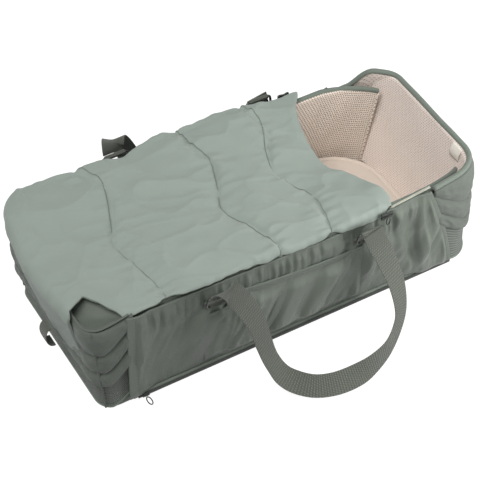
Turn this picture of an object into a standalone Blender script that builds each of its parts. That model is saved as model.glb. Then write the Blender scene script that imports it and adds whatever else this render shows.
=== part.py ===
"""Soft carrycot: padded fabric walls, quilted zip-on cover and two webbing carry handles.

Metres, +Z up, +X from the foot to the head, the near side is -Y.
"""
import bpy
import bmesh
from math import cos, exp, pi, radians, sin
from mathutils import Vector

# overall sizes
GAP = 0.0003                # clearance between pieces that touch
FOOT_X = -0.350             # foot end of the base
HEAD_X = 0.362              # head end of the base
HALF_WIDTH = 0.150          # base, centre line to the side
BASE_CORNER = 0.036         # plan radius of the base's corners
BASE_THICK = 0.010
BOARD_THICK = 0.004

# padded walls
WALL_HEIGHT = 0.195         # floor to the top of a side wall
WALL_THICK = 0.012
WALL_OUTER_Y = 0.152        # outer face of a side wall
WALL_TAIL_X = -0.292        # foot end of a side wall
WALL_BEND_X = 0.275         # where a side wall starts to curl inwards
WALL_TIP_X = 0.336          # free end of a side wall at its top
WALL_TIP_Y = 0.112
WALL_TIP_RAKE = 0.034       # how far the free end draws back at the bottom
BINDING_R = 0.0038

# end walls with their wings
WING_THICK = 0.0075
WING_Y = WALL_OUTER_Y + GAP
HEAD_TOP_Z = 0.204
HEAD_RISE = 0.016           # the head wall stands higher near its corners
HEAD_WING_X = 0.268
FOOT_TOP_Z = 0.196
FOOT_WING_X = -0.298
FOOT_LEAN = 0.024           # the foot wall leans out by this at its top
END_WALL_THICK = 0.011
END_CORNER = 0.034
CHANNELS = 3
CHANNEL_DEPTH = 0.0035
RIB_TOP_Z = 0.046
SEAM_RISE = 0.036           # seams climb this much along a wing
WING_RISE = (0.1, 0.8)      # shares of a wing's length over which its top climbs
CHANNEL_FADE = (0.2, 0.7)   # and over which its channels fill out
HEAD_LINING_FOOT_X = 0.309  # the lining's inner face at its lower edge
HEAD_LINING_LOW_Z = 0.063
HEAD_LINING_TOP_Z = 0.180
HEAD_LINING_LOW_HALF = 0.100
HEAD_LINING_TOP_HALF = 0.122
HEAD_LINING_THICK = 0.005
HEAD_LINING_BOW = 0.002

# gathered side skirt and pocket
SKIRT_TOP_Z = 0.190
SKIRT_BOTTOM_Z = 0.0135
SKIRT_THICK = 0.0030
SKIRT_FOOT_X = -0.312
SKIRT_HEAD_TOP_X = 0.258
SKIRT_HEAD_BOTTOM_X = 0.316
GATHER_DEPTH = 0.0016
GATHER_PITCH = 0.021
POCKET_FOOT_X = -0.172
POCKET_HEAD_X = 0.128
POCKET_TOP_Z = 0.140        # hem height at the pocket's foot end
POCKET_RISE = 0.024         # the hem steps up here beside the foot ring
POCKET_RISE_FROM = 0.042    # from the pocket's foot end
POCKET_RISE_OVER = 0.030
POCKET_FALL = 0.018         # and falls again towards the head
POCKET_BOTTOM_Z = 0.024
POCKET_THICK = 0.0026

# mattress
MATTRESS_FOOT_X = -0.322
MATTRESS_HEAD_X = 0.306
MATTRESS_HALF_WIDTH = 0.134
MATTRESS_THICK = 0.040
MATTRESS_CORNER = 0.100

# quilted cover
COVER_TOP_Z = 0.221
COVER_THICK = 0.006
COVER_HALF_WIDTH = 0.1505   # where the top turns down to its side lip
COVER_EDGE_R = 0.015
COVER_LIP = 0.022           # straight part of the side lip
COVER_FRONT_X = 0.182
COVER_FRONT_DIP = 0.030     # the front edge draws back at mid width
COVER_FRONT_SAG = 0.030     # and sinks between the walls
SAG_HALF_WIDTH = 0.132
LIP_FLARE = 0.030           # length over which the lip widens to clear the wings
SEAM_B_X = -0.045
SEAM_A_X = -0.243
SEAM_WAVE = 0.012
PUFF = 0.0045
FLAP_X = -0.402             # plane where the cover turns down over the foot
FLAP_BOTTOM_Z = 0.040
FLAP_LEAN = 0.022           # the flap draws in by this at its hem
FLAP_HALF_WIDTH = 0.118
NOTCH_HEAD_X = -0.290
NOTCH_APEX_X = -0.342
NOTCH_APEX_Y = 0.098
QUILT_GAP = 0.0003

# zips
ZIP_SLIDER_DROP = 0.023     # the sliders run this far below the cover's top
ZIP_TAPE_H = 0.009
ZIP_TAPE_T = 0.0016
ZIP_FOOT_X = -0.285
ZIP_HEAD_X = 0.180
SLIDER_L = 0.013
SLIDER_H = 0.008
SLIDER_T = 0.0036
PULL_L = 0.017
PULL_W = 0.0075
PULL_WIRE = 0.0009
BASE_ZIP_FOOT_X = -0.296
BASE_ZIP_HEAD_X = 0.318
BASE_ZIP_Z = 0.0066
BASE_ZIP_H = 0.0070

# handles
WEBBING_W = 0.040
WEBBING_T = 0.0022
RING_FOOT_X = -0.153
RING_HEAD_X = 0.128
RING_W = 0.047              # between the centres of the ring's short sides
RING_H = 0.024              # between its long bars
RING_WIRE = 0.0016
RING_Y = 0.1750             # pivot line of the rings
RING_Z = 0.174
RING_TILT = 15.0            # degrees from upright at rest
TAB_LEG = 0.021             # sewn leg of a ring tab, below the pivot line
EYE_CLEAR = 0.0004          # running clearance round a ring bar
HANDLE_REACH = 0.130        # from the pivot line to the loop's far side

# foot loop and tag
LOOP_W = 0.024
LOOP_OUT = 0.014
LOOP_HALF_H = 0.022
LOOP_Z = 0.100
LOOP_Y = -0.040
TAG_W = 0.024
TAG_H = 0.022
TAG_T = 0.0010
TAG_Y = -0.097

SIDES = {"near": -1, "far": 1}


def clear_scene():
    for item in list(bpy.data.objects):
        bpy.data.objects.remove(item, do_unlink=True)


def make_collection(name):
    group = bpy.data.collections.new(name)
    bpy.context.scene.collection.children.link(group)
    return group


def make_material(name, colour, rough, metal=0.0):
    mat = bpy.data.materials.new(name)
    mat.use_nodes = True
    shader = mat.node_tree.nodes["Principled BSDF"]
    shader.inputs["Base Color"].default_value = (*colour, 1.0)
    shader.inputs["Roughness"].default_value = rough
    shader.inputs["Metallic"].default_value = metal
    return mat


def smooth(low, high, value):
    """0 below low, 1 above high, with an even turn between."""
    t = min(max((value - low) / (high - low), 0.0), 1.0)
    return t * t * (3.0 - 2.0 * t)


def mix(a, b, t):
    return a + (b - a) * t


def put(name, mesh, mat, parent=None):
    mesh.materials.append(mat)
    obj = bpy.data.objects.new(name, mesh)
    PARTS.objects.link(obj)
    if parent is not None:
        obj.parent = parent
        obj.matrix_parent_inverse = parent.matrix_world.inverted()
    return obj


def pivot(name, place):
    """An empty on a joint's axis, which carries the pieces that move about it."""
    mark = bpy.data.objects.new(name, None)
    mark.location = place
    mark.empty_display_size = WEBBING_W
    PARTS.objects.link(mark)
    bpy.context.view_layer.update()
    return mark


def finish_mesh(name, bm, mat, parent=None, smooth_angle=40.0):
    bmesh.ops.recalc_face_normals(bm, faces=bm.faces[:])
    mesh = bpy.data.meshes.new(name)
    bm.to_mesh(mesh)
    bm.free()
    mesh.shade_smooth()
    mesh.set_sharp_from_angle(angle=radians(smooth_angle))
    return put(name, mesh, mat, parent)


def loft(rings):
    """A skin through rings of points, capped at both ends."""
    bm = bmesh.new()
    rows = [[bm.verts.new(point) for point in ring] for ring in rings]
    for first, second in zip(rows, rows[1:]):
        for i in range(len(first)):
            j = (i + 1) % len(first)
            bm.faces.new((first[i], first[j], second[j], second[i]))
    bm.faces.new(rows[0])
    bm.faces.new(rows[-1])
    return bm


def rounded_plan(x_low, x_high, half_width, radius, steps=6):
    """A rounded rectangle's outline, counter-clockwise from the head's far corner."""
    points = []
    corners = ((x_high, half_width, 0), (x_low, half_width, 1), (x_low, -half_width, 2), (x_high, -half_width, 3))
    for x, y, quarter in corners:
        cx = x - radius if x == x_high else x + radius
        cy = y - radius if y > 0 else y + radius
        for i in range(steps + 1):
            angle = (quarter + i / steps) * pi / 2
            points.append((cx + radius * cos(angle), cy + radius * sin(angle)))
    return points


def slab(name, outline, z_low, z_high, mat):
    """A plate of an outline."""
    rings = [[(x, y, z) for x, y in outline] for z in (z_low, z_high)]
    return finish_mesh(name, loft(rings), mat)


def tube(name, points, radius, mat, parent=None, closed=False, resolution=1):
    """A round cord, wire or piping as a bevelled curve, turned into a welded mesh."""
    curve = bpy.data.curves.new(name + "_path", "CURVE")
    curve.dimensions = "3D"
    curve.bevel_depth = radius
    curve.bevel_resolution = resolution
    curve.use_fill_caps = not closed
    spline = curve.splines.new("POLY")
    spline.points.add(len(points) - 1)
    for knot, place in zip(spline.points, points):
        knot.co = (*place, 1.0)
    spline.use_cyclic_u = closed
    source = bpy.data.objects.new(name + "_path", curve)
    PARTS.objects.link(source)
    bpy.context.view_layer.update()
    ready = source.evaluated_get(bpy.context.evaluated_depsgraph_get())
    mesh = bpy.data.meshes.new_from_object(ready)
    bpy.data.objects.remove(source, do_unlink=True)
    mesh.materials.clear()
    bm = bmesh.new()
    bm.from_mesh(mesh)
    bpy.data.meshes.remove(mesh)
    bmesh.ops.remove_doubles(bm, verts=bm.verts[:], dist=GAP / 10)
    return finish_mesh(name, bm, mat, parent, 60.0)


def sheet(name, place, columns, rows, thick, mat, parent=None):
    """A cloth panel: a grid whose points place() sets, made solid inwards."""
    bm = bmesh.new()
    bmesh.ops.create_grid(bm, x_segments=columns, y_segments=rows, size=1.0)
    for vert in bm.verts:
        u, v = (vert.co.x + 1) / 2, (vert.co.y + 1) / 2
        vert.co = place(u, v)
    mesh = bpy.data.meshes.new(name)
    bm.to_mesh(mesh)
    bm.free()
    mesh.shade_smooth()
    obj = put(name, mesh, mat, parent)
    shell = obj.modifiers.new("thickness", "SOLIDIFY")
    shell.thickness = thick
    shell.offset = -1.0
    return obj


def strip(name, centres, across, normals, width, thick, mat, parent=None):
    """A flat webbing strip along centres, with its width and normal directions given."""
    rings = []
    for centre, side, up in zip(centres, across, normals):
        w = side * (width / 2)
        t = up * (thick / 2)
        rings.append([centre - w - t, centre + w - t, centre + w + t, centre - w + t])
    return finish_mesh(name, loft(rings), mat, parent, 30.0)


def catmull(knots, steps):
    """Points on a smooth curve through the knots, steps to each stretch."""
    knots = [Vector(k) for k in knots]
    ends = [knots[0] * 2 - knots[1], *knots, knots[-1] * 2 - knots[-2]]
    points = []
    for i in range(1, len(ends) - 2):
        a, b, c, d = ends[i - 1:i + 3]
        for k in range(steps):
            t = k / steps
            points.append(0.5 * (2 * b + (c - a) * t + (2 * a - 5 * b + 4 * c - d) * t ** 2
                                 + (3 * b - a - 3 * c + d) * t ** 3))
    points.append(knots[-1])
    return points


def make_base():
    plan = rounded_plan(FOOT_X, HEAD_X, HALF_WIDTH, BASE_CORNER)
    slab("base_panel", plan, 0.0, BASE_THICK, LINING)
    low = BASE_THICK + GAP
    inner = rounded_plan(MATTRESS_FOOT_X, MATTRESS_HEAD_X, MATTRESS_HALF_WIDTH, MATTRESS_CORNER)
    slab("base_board", inner, low, low + BOARD_THICK, BOARD)


def make_mattress():
    """Crowned pad with rolled edges and drawn-in sides."""
    low = BASE_THICK + BOARD_THICK + 2 * GAP
    levels = ((0.0, 0.06), (0.12, 0.015), (0.50, 0.0), (0.84, 0.015), (0.96, 0.05), (1.0, 0.12))
    rings = []
    for height_share, inset_share in levels:
        inset = inset_share * MATTRESS_CORNER
        ring = []
        for x, y in rounded_plan(MATTRESS_FOOT_X + inset, MATTRESS_HEAD_X - inset,
                                 MATTRESS_HALF_WIDTH - inset, MATTRESS_CORNER - inset, 7):
            ring.append((x, y, low + height_share * MATTRESS_THICK))
        rings.append(ring)
    middle = []
    for x, y in rounded_plan(MATTRESS_FOOT_X + MATTRESS_CORNER / 2, MATTRESS_HEAD_X - MATTRESS_CORNER / 2,
                             MATTRESS_HALF_WIDTH - MATTRESS_CORNER / 2, MATTRESS_CORNER / 2, 7):
        middle.append((x, y, low + MATTRESS_THICK + PUFF))
    rings.append(middle)
    finish_mesh("mattress", loft(rings), LINING)


def wall_line(z):
    """Outer line of a side wall at a height, foot to head, with its curled free end."""
    rake = WALL_TIP_RAKE * (1.0 - z / WALL_HEIGHT)
    line = [(WALL_TAIL_X, WALL_OUTER_Y), (WALL_BEND_X / 2, WALL_OUTER_Y), (WALL_BEND_X - rake, WALL_OUTER_Y)]
    tip = Vector((WALL_TIP_X - rake, WALL_TIP_Y))
    start = Vector(line[-1])
    bend = Vector((WALL_TIP_X - rake - WALL_THICK, WALL_OUTER_Y))
    for i in range(1, 7):
        t = i / 6
        point = start * (1 - t) ** 2 + bend * (2 * t * (1 - t)) + tip * t * t
        line.append((point.x, point.y))
    return line


def thick_band(line, thick, side):
    """Outer and inner points of a wall whose outer line is given, as one closed loop."""
    points = [Vector(p) for p in line]
    inner = []
    for i, point in enumerate(points):
        ahead = points[min(i + 1, len(points) - 1)] - points[max(i - 1, 0)]
        ahead.normalize()
        inner.append(point + Vector((ahead.y, -ahead.x)) * thick)
    return [(p.x, p.y * side) for p in points] + [(p.x, p.y * side) for p in reversed(inner)]


def make_side_walls():
    low = BASE_THICK + GAP
    for name, side in SIDES.items():
        rings = []
        for share in (0.0, 0.25, 0.5, 0.75, 0.95, 1.0):
            z = mix(low, WALL_HEIGHT, share)
            swell = WALL_THICK * (1.0 if share < 1.0 else 0.7)
            rings.append([(x, y, z) for x, y in thick_band(wall_line(z), swell, side)])
        finish_mesh(f"side_wall_{name}", loft(rings), LINING)
        top = WALL_HEIGHT + GAP + BINDING_R
        line = wall_line(WALL_HEIGHT)
        points = [(x, (y - BINDING_R) * side, top) for x, y in line]
        tube(f"wall_binding_{name}", points, BINDING_R, TRIM)


def end_line(tip_x, turn_x, out_y, radius, steps=5):
    """Plan line of an end wall from one wing's tip round to the other's."""
    sign = 1 if turn_x > tip_x else -1
    half = [(tip_x, out_y), (mix(tip_x, turn_x - sign * radius, 0.5), out_y)]
    for i in range(steps + 1):
        angle = pi / 2 * (1 - i / steps)
        half.append((turn_x - sign * radius * (1 - cos(angle)), out_y - radius * (1 - sin(angle))))
    half.append((turn_x, out_y * 0.45))
    half.append((turn_x, out_y * 0.15))
    return half + [(x, -y) for x, y in reversed(half)]


def end_wall(name, tip_x, turn_x, lean, z_low, z_top, rise, mat, parent=None):
    """A U of padded fabric with sewn channels, which wraps the corners as wings."""
    sign = 1 if turn_x > tip_x else -1
    out_y = WING_Y + WING_THICK
    steps = CHANNELS * 4
    rings = []
    for k in range(steps + 1):
        share = k / steps
        depth = abs(sin(share * CHANNELS * pi)) * CHANNEL_DEPTH
        out = lean * mix(z_low, z_top, share) / z_top
        outer = end_line(tip_x, turn_x + sign * out, out_y, END_CORNER)
        inner = end_line(tip_x, turn_x + sign * (out - END_WALL_THICK), WING_Y,
                         END_CORNER - END_WALL_THICK / 2)
        count = len(outer)
        ring = []
        for i, (x, y) in enumerate(outer):
            reach = abs(x - tip_x) / abs(turn_x - tip_x)
            climb = SEAM_RISE * (1.0 - smooth(0.3, 1.0, reach)) * min(share * 4, 1.0, (1 - share) * 4)
            z = mix(z_low, z_top + rise * smooth(*WING_RISE, reach), share) + climb
            bulge = depth * smooth(*CHANNEL_FADE, reach)
            edge = abs(y) > out_y - END_CORNER / 2
            x_out = x + sign * bulge * (1.0 - smooth(0.0, out_y, abs(y)) * 0.4) * smooth(0.5, 0.95, reach)
            y_out = y - (WING_THICK * 0.25 * (1 - depth / CHANNEL_DEPTH) * (1 if y > 0 else -1) if edge else 0.0)
            ring.append((x_out, y_out, z))
        for i, (x, y) in enumerate(reversed(inner)):
            ring.append((x, y, ring[count - 1 - i][2]))
        rings.append(ring)
    return finish_mesh(name, loft(rings), mat, parent)


def rib_band(name, tip_x, turn_x, parent=None):
    """Ribbed knit band round the foot of an end wall."""
    out_y = WING_Y + WING_THICK
    outer = end_line(tip_x, turn_x, out_y, END_CORNER)
    sign = 1 if turn_x > tip_x else -1
    inner = end_line(tip_x, turn_x - sign * END_WALL_THICK, WING_Y, END_CORNER - END_WALL_THICK / 2)
    rings = []
    low = GAP
    high = RIB_TOP_Z - GAP
    ribs = 5
    for k in range(ribs * 2 + 1):
        share = k / (ribs * 2)
        z = mix(low, high, share)
        pull = CHANNEL_DEPTH / 4 if k % 2 else 0.0
        ring = [(x - sign * pull * (1 if abs(y) < out_y - END_CORNER else 0), y * (1 - pull / out_y), z)
                for x, y in outer]
        ring += [(x, y, z) for x, y in reversed(inner)]
        rings.append(ring)
    return finish_mesh(name, loft(rings), KNIT, parent)


def make_ends():
    axis = HEAD_X + END_WALL_THICK + GAP + CHANNEL_DEPTH
    head = pivot("head_fold_pivot", (axis, 0.0, GAP))
    rib_band("foot_rib_band", FOOT_WING_X, FOOT_X - END_WALL_THICK - GAP)
    end_wall("foot_wall", FOOT_WING_X, FOOT_X - END_WALL_THICK - GAP, FOOT_LEAN, RIB_TOP_Z, FOOT_TOP_Z, 0.0,
             SHELL)
    rib_band("head_rib_band", HEAD_WING_X, HEAD_X + END_WALL_THICK + GAP, head)
    end_wall("head_wall", HEAD_WING_X, HEAD_X + END_WALL_THICK + GAP, 0.0, RIB_TOP_Z, HEAD_TOP_Z, HEAD_RISE,
             SHELL, head)
    mid_y = WING_Y + WING_THICK / 2
    line = end_line(HEAD_WING_X, HEAD_X + END_WALL_THICK / 2, mid_y, END_CORNER - END_WALL_THICK / 4)
    points = []
    for x, y in line:
        reach = abs(x - HEAD_WING_X) / (HEAD_X - HEAD_WING_X)
        points.append((x, y, HEAD_TOP_Z + HEAD_RISE * smooth(*WING_RISE, reach) + BINDING_R))
    tube("head_binding", points, BINDING_R, TRIM, head)
    make_head_lining(head)
    bm = bmesh.new()
    bmesh.ops.create_cube(bm, size=1.0)
    bmesh.ops.scale(bm, vec=(TAG_T, TAG_W, TAG_H), verts=bm.verts)
    bmesh.ops.translate(bm, vec=(HEAD_X - GAP - TAG_T / 2, TAG_Y, HEAD_TOP_Z - TAG_H / 2), verts=bm.verts)
    finish_mesh("care_tag", bm, TAPE, head)


def make_head_lining(parent):
    """Sloped mesh panel from the head wall's top down to the mattress."""
    columns = 10
    rows = 6
    top_x = HEAD_X - HEAD_LINING_THICK
    rings = []
    for i in range(columns + 1):
        across = 2 * i / columns - 1
        inner = []
        for j in range(rows + 1):
            up = j / rows
            bow = HEAD_LINING_BOW * sin(pi * up) * cos(across * pi / 2)
            y = across * mix(HEAD_LINING_LOW_HALF, HEAD_LINING_TOP_HALF, up)
            inner.append((mix(HEAD_LINING_FOOT_X, top_x, up) + bow, y, mix(HEAD_LINING_LOW_Z, HEAD_LINING_TOP_Z, up)))
        rings.append(inner + [(x + HEAD_LINING_THICK, y, z) for x, y, z in reversed(inner)])
    finish_mesh("head_lining", loft(rings), LINING, parent)


def skirt_y(x):
    """Plan line of the skirt's inner face: it steps out over the tucked wings."""
    wing = WING_THICK + GAP
    foot = 1.0 - smooth(FOOT_WING_X + GAP, FOOT_WING_X + GATHER_PITCH * 2, x)
    head = smooth(HEAD_WING_X - GATHER_PITCH * 2, HEAD_WING_X - GATHER_PITCH / 2, x)
    return WALL_OUTER_Y + GAP + wing * max(foot, head)


def make_skirts():
    columns = 56
    rows = 4
    for name, side in SIDES.items():
        rings = []
        for i in range(columns + 1):
            share = i / columns
            ring_in = []
            ring_out = []
            for j in range(rows + 1):
                height = j / rows
                head = mix(SKIRT_HEAD_BOTTOM_X, SKIRT_HEAD_TOP_X, height ** 1.4)
                x = mix(SKIRT_FOOT_X, head, share)
                z = mix(SKIRT_BOTTOM_Z, SKIRT_TOP_Z, height)
                fold = sin(2 * pi * x / GATHER_PITCH + 1.7 * sin(x / GATHER_PITCH / 2)) * (0.35 + 0.65 * height)
                out = skirt_y(x) + SKIRT_THICK + GATHER_DEPTH * fold * (0.0 if i in (0, columns) else 1.0)
                ring_in.append((x, side * skirt_y(x), z))
                ring_out.append((x, side * out, z))
            rings.append(ring_in + ring_out[::-1])
        finish_mesh(f"skirt_{name}", loft(rings), SKIRT)


def make_pockets():
    columns = 26
    face = WALL_OUTER_Y + 2 * GAP + SKIRT_THICK + GATHER_DEPTH
    for name, side in SIDES.items():
        rings = []
        for i in range(columns + 1):
            share = i / columns
            x = mix(POCKET_FOOT_X, POCKET_HEAD_X, share)
            start = POCKET_FOOT_X + POCKET_RISE_FROM
            low = POCKET_BOTTOM_Z
            high = POCKET_TOP_Z + POCKET_RISE * smooth(start, start + POCKET_RISE_OVER, x)
            high -= POCKET_FALL * smooth(start + POCKET_RISE_OVER, POCKET_HEAD_X, x)
            wave = POCKET_THICK * 0.45 * sin(share * 8 * pi) * sin(share * pi)
            ring = [(x, side * face, low), (x, side * face, high), (x, side * (face + POCKET_THICK), high)]
            ring.append((x, side * (face + POCKET_THICK * 1.3 + wave), mix(low, high, 0.6)))
            ring.append((x, side * (face + POCKET_THICK + wave * 0.5), mix(low, high, 0.2)))
            ring.append((x, side * (face + POCKET_THICK * 0.7), low))
            rings.append(ring)
        finish_mesh(f"pocket_{name}", loft(rings), SKIRT)


def seam_wave(y):
    """How far a quilting seam wanders from its line, across the cover."""
    return SEAM_WAVE * sin(2 * pi * y / HALF_WIDTH + 0.6)


def front_edge(y):
    return COVER_FRONT_X - COVER_FRONT_DIP * (1.0 - (y / COVER_HALF_WIDTH) ** 2)


def cover_z(x, y):
    """Height of the cover's top, with puffed panels between the seams."""
    across = min(abs(y) / COVER_HALF_WIDTH, 1.0)
    lines = (SEAM_A_X + seam_wave(y), SEAM_B_X + seam_wave(y), SEAM_B_X + (COVER_FRONT_X - SEAM_B_X) / 2)
    near = min(abs(x - line) for line in lines)
    puff = PUFF * (1.0 - exp(-near / (2 * COVER_THICK)))
    crown = PUFF * (1.0 - across ** 2)
    sag = COVER_FRONT_SAG * smooth(SEAM_B_X, COVER_FRONT_X, x) * max(1.0 - (y / SAG_HALF_WIDTH) ** 2, 0.0)
    return COVER_TOP_Z - 2 * PUFF + (puff + crown) * (1.0 - across ** 6) - sag


def lip(s, x):
    """Where a length s across the cover from its middle line falls: y out and drop."""
    flat = COVER_HALF_WIDTH
    arc = COVER_EDGE_R * pi / 2
    wide = (WING_THICK + GAP) * (1.0 - smooth(NOTCH_HEAD_X, SEAM_A_X + LIP_FLARE, x))
    if s <= flat:
        return s * (flat + wide) / flat, 0.0
    if s <= flat + arc:
        angle = (s - flat) / COVER_EDGE_R
        return flat + wide + COVER_EDGE_R * sin(angle), COVER_EDGE_R * (1 - cos(angle))
    return flat + wide + COVER_EDGE_R, COVER_EDGE_R + s - flat - arc


COVER_REACH = COVER_HALF_WIDTH + COVER_EDGE_R * pi / 2 + COVER_LIP


def cover_point(x, s, side):
    y, drop = lip(s, x)
    y *= side
    return Vector((x, y, cover_z(x, y) - drop))


def make_cover_panel(name, back, front, columns, parent):
    """One quilted panel between two lines across the cover, given as x at each y."""
    def place(u, v):
        s = (2 * v - 1) * COVER_REACH
        side = 1 if s >= 0 else -1
        y = max(min(s, COVER_HALF_WIDTH), -COVER_HALF_WIDTH)
        return cover_point(mix(back(y), front(y), u), abs(s), side)
    return sheet(name, place, columns, 24, COVER_THICK, COVER, parent)


def make_cover():
    mid = pivot("cover_fold_pivot", (SEAM_A_X, 0.0, COVER_TOP_Z))
    front = pivot("cover_front_pivot", (SEAM_B_X, 0.0, COVER_TOP_Z))

    def seam_a(y):
        return SEAM_A_X + seam_wave(y)

    def seam_b(y):
        return SEAM_B_X + seam_wave(y)

    make_cover_panel("cover_front", lambda y: seam_b(y) + QUILT_GAP, front_edge, 9, front)
    make_cover_panel("cover_mid", lambda y: seam_a(y) + QUILT_GAP, lambda y: seam_b(y) - QUILT_GAP, 8, mid)

    top = SEAM_A_X - FLAP_X
    turn = COVER_EDGE_R * 1.6
    down = COVER_TOP_Z - FLAP_BOTTOM_Z - turn
    total = top - turn + turn * pi / 2 + down

    def reach_at(x_like):
        """Half length across the panel at a place along it, with the corner notch."""
        if x_like >= NOTCH_HEAD_X:
            return COVER_REACH
        if x_like >= NOTCH_APEX_X:
            t = (NOTCH_HEAD_X - x_like) / (NOTCH_HEAD_X - NOTCH_APEX_X)
            return mix(COVER_REACH, NOTCH_APEX_Y, t ** 0.7)
        t = min((NOTCH_APEX_X - x_like) / (NOTCH_APEX_X - FLAP_X), 1.0)
        return mix(NOTCH_APEX_Y, FLAP_HALF_WIDTH, t)

    def place(u, v):
        """u runs from the flap's hem up and over to the quilting seam."""
        run = (1.0 - u) * total
        flat = top - turn
        share = 2 * v - 1
        side = 1 if share >= 0 else -1
        x_like = SEAM_A_X - min(run, top)
        s = abs(share) * reach_at(x_like)
        wave = seam_wave(side * min(s, COVER_HALF_WIDTH)) - QUILT_GAP
        if run <= flat:
            x = SEAM_A_X - run + wave * (1.0 - run / flat)
            return cover_point(x, s, side)
        y, drop = lip(s, FLAP_X)
        edge_z = cover_z(SEAM_A_X - flat, y)
        puffed = PUFF * (1.0 - (y / FLAP_HALF_WIDTH) ** 2)
        angle = min((run - flat) / turn, pi / 2)
        fall = max(run - flat - turn * pi / 2, 0.0)
        x = SEAM_A_X - flat - turn * sin(angle) - puffed * sin(angle) + FLAP_LEAN * fall / down
        z = edge_z - turn * (1 - cos(angle)) - fall - drop * (1 - sin(angle))
        return Vector((x, y * side, max(z, FLAP_BOTTOM_Z)))

    sheet("cover_foot", place, 22, 24, COVER_THICK, COVER)


def make_gussets():
    """Flat corner panels that show through the cover's corner notches."""
    top = FOOT_TOP_Z + GAP
    for name, side in SIDES.items():
        out = WING_Y + WING_THICK
        corner = FOOT_X - END_WALL_THICK - GAP - FOOT_LEAN + END_WALL_THICK
        start = WALL_TAIL_X - GAP
        plan = [(start, out * side), (start, (NOTCH_APEX_Y - END_CORNER) * side)]
        plan += [(corner, (NOTCH_APEX_Y - END_CORNER) * side), (corner, (out - END_CORNER) * side),
                 (corner + END_CORNER / 3, (out - END_CORNER / 3) * side), (corner + END_CORNER, out * side)]
        rings = [[(x, y, z) for x, y in plan] for z in (top, top + TAG_T)]
        finish_mesh(f"corner_gusset_{name}", loft(rings), SHELL)


def block(name, centre, size, mat, parent=None, bevel=0.0):
    bm = bmesh.new()
    bmesh.ops.create_cube(bm, size=1.0)
    bmesh.ops.scale(bm, vec=size, verts=bm.verts)
    if bevel:
        bmesh.ops.bevel(bm, geom=bm.edges[:], offset=bevel, segments=1, affect="EDGES")
    bmesh.ops.translate(bm, vec=centre, verts=bm.verts)
    return finish_mesh(name, bm, mat, parent, 30.0)


def pull_ring(name, centre, side, parent, flat=False):
    """A wire puller: a long ring that hangs from, or lies beside, its slider."""
    points = []
    steps = 12
    for i in range(steps):
        angle = 2 * pi * i / steps
        across = PULL_W / 2 * cos(angle)
        along = PULL_L / 2 * (1 + sin(angle))
        if flat:
            points.append((centre[0] + across, centre[1] + side * along, centre[2]))
        else:
            points.append((centre[0] + across, centre[1], centre[2] - along))
    return tube(name, points, PULL_WIRE, METAL, parent, closed=True)


def make_zips():
    tape_in = WALL_OUTER_Y + GAP
    for name, side in SIDES.items():
        y_tape = side * (tape_in + ZIP_TAPE_T / 2)
        length = ZIP_HEAD_X - ZIP_FOOT_X
        low = SKIRT_TOP_Z + GAP
        block(f"zip_tape_{name}", ((ZIP_HEAD_X + ZIP_FOOT_X) / 2, y_tape, low + ZIP_TAPE_H / 2),
              (length, ZIP_TAPE_T, ZIP_TAPE_H), TAPE)
        out = COVER_HALF_WIDTH + COVER_EDGE_R - 2 * GAP
        x = COVER_FRONT_X - SLIDER_L
        z = COVER_TOP_Z - ZIP_SLIDER_DROP
        carrier = pivot(f"zip_{name}_slide", (x, side * out, z))
        y_body = side * (out + SLIDER_T / 2)
        block(f"zip_slider_{name}", (x, y_body, z), (SLIDER_L, SLIDER_T, SLIDER_H), METAL, carrier,
              PULL_WIRE)
        hang = pivot(f"zip_pull_{name}_pivot", (x, side * (out + SLIDER_T + PULL_WIRE + GAP), z))
        hang.parent = carrier
        hang.matrix_parent_inverse = carrier.matrix_world.inverted()
        bpy.context.view_layer.update()
        pull_ring(f"zip_pull_{name}", hang.matrix_world.translation, side, hang)


def make_base_zip():
    seat = WING_Y + WING_THICK + GAP
    middle = (BASE_ZIP_HEAD_X + BASE_ZIP_FOOT_X) / 2
    block("base_zip_tape", (middle, -seat - ZIP_TAPE_T / 2, BASE_ZIP_Z),
          (BASE_ZIP_HEAD_X - BASE_ZIP_FOOT_X, ZIP_TAPE_T, BASE_ZIP_H), TAPE_DARK)
    face = seat + ZIP_TAPE_T + GAP
    x = BASE_ZIP_FOOT_X + SLIDER_L
    carrier = pivot("base_zip_slide", (x, -face, BASE_ZIP_Z))
    block("base_zip_slider", (x, -face - SLIDER_T / 2, BASE_ZIP_Z), (SLIDER_L, SLIDER_T, BASE_ZIP_H), METAL,
          carrier, PULL_WIRE)
    place = Vector((x, -face - SLIDER_T - GAP - PULL_WIRE, BASE_ZIP_Z - BASE_ZIP_H / 4))
    hang = pivot("base_zip_pull_pivot", place)
    hang.parent = carrier
    hang.matrix_parent_inverse = carrier.matrix_world.inverted()
    bpy.context.view_layer.update()
    pull_ring("base_zip_pull", place, -1, hang, flat=True)


def eye(centre, radius, start, end, steps):
    """Middle line of a webbing eye round a bar, as (y, z)."""
    points = []
    for i in range(steps + 1):
        angle = radians(mix(start, end, i / steps))
        points.append((centre[0] + radius * cos(angle), centre[1] + radius * sin(angle)))
    return points


def webbing_fold(name, line, x_mid, width, side, mat, parent=None):
    """Folded webbing: a middle line in Y and Z, given its thickness and run out along X."""
    points = [Vector(p) for p in line]
    left = []
    right = []
    for i, point in enumerate(points):
        ahead = (points[min(i + 1, len(points) - 1)] - points[max(i - 1, 0)]).normalized()
        off = Vector((ahead.y, -ahead.x)) * (WEBBING_T / 2)
        left.append(point + off)
        right.append(point - off)
    band = left + right[::-1]
    rings = []
    for x in (x_mid - width / 2, x_mid + width / 2):
        rings.append([(x, side * y, z) for y, z in band])
    return finish_mesh(name, loft(rings), mat, parent, 35.0)


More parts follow.
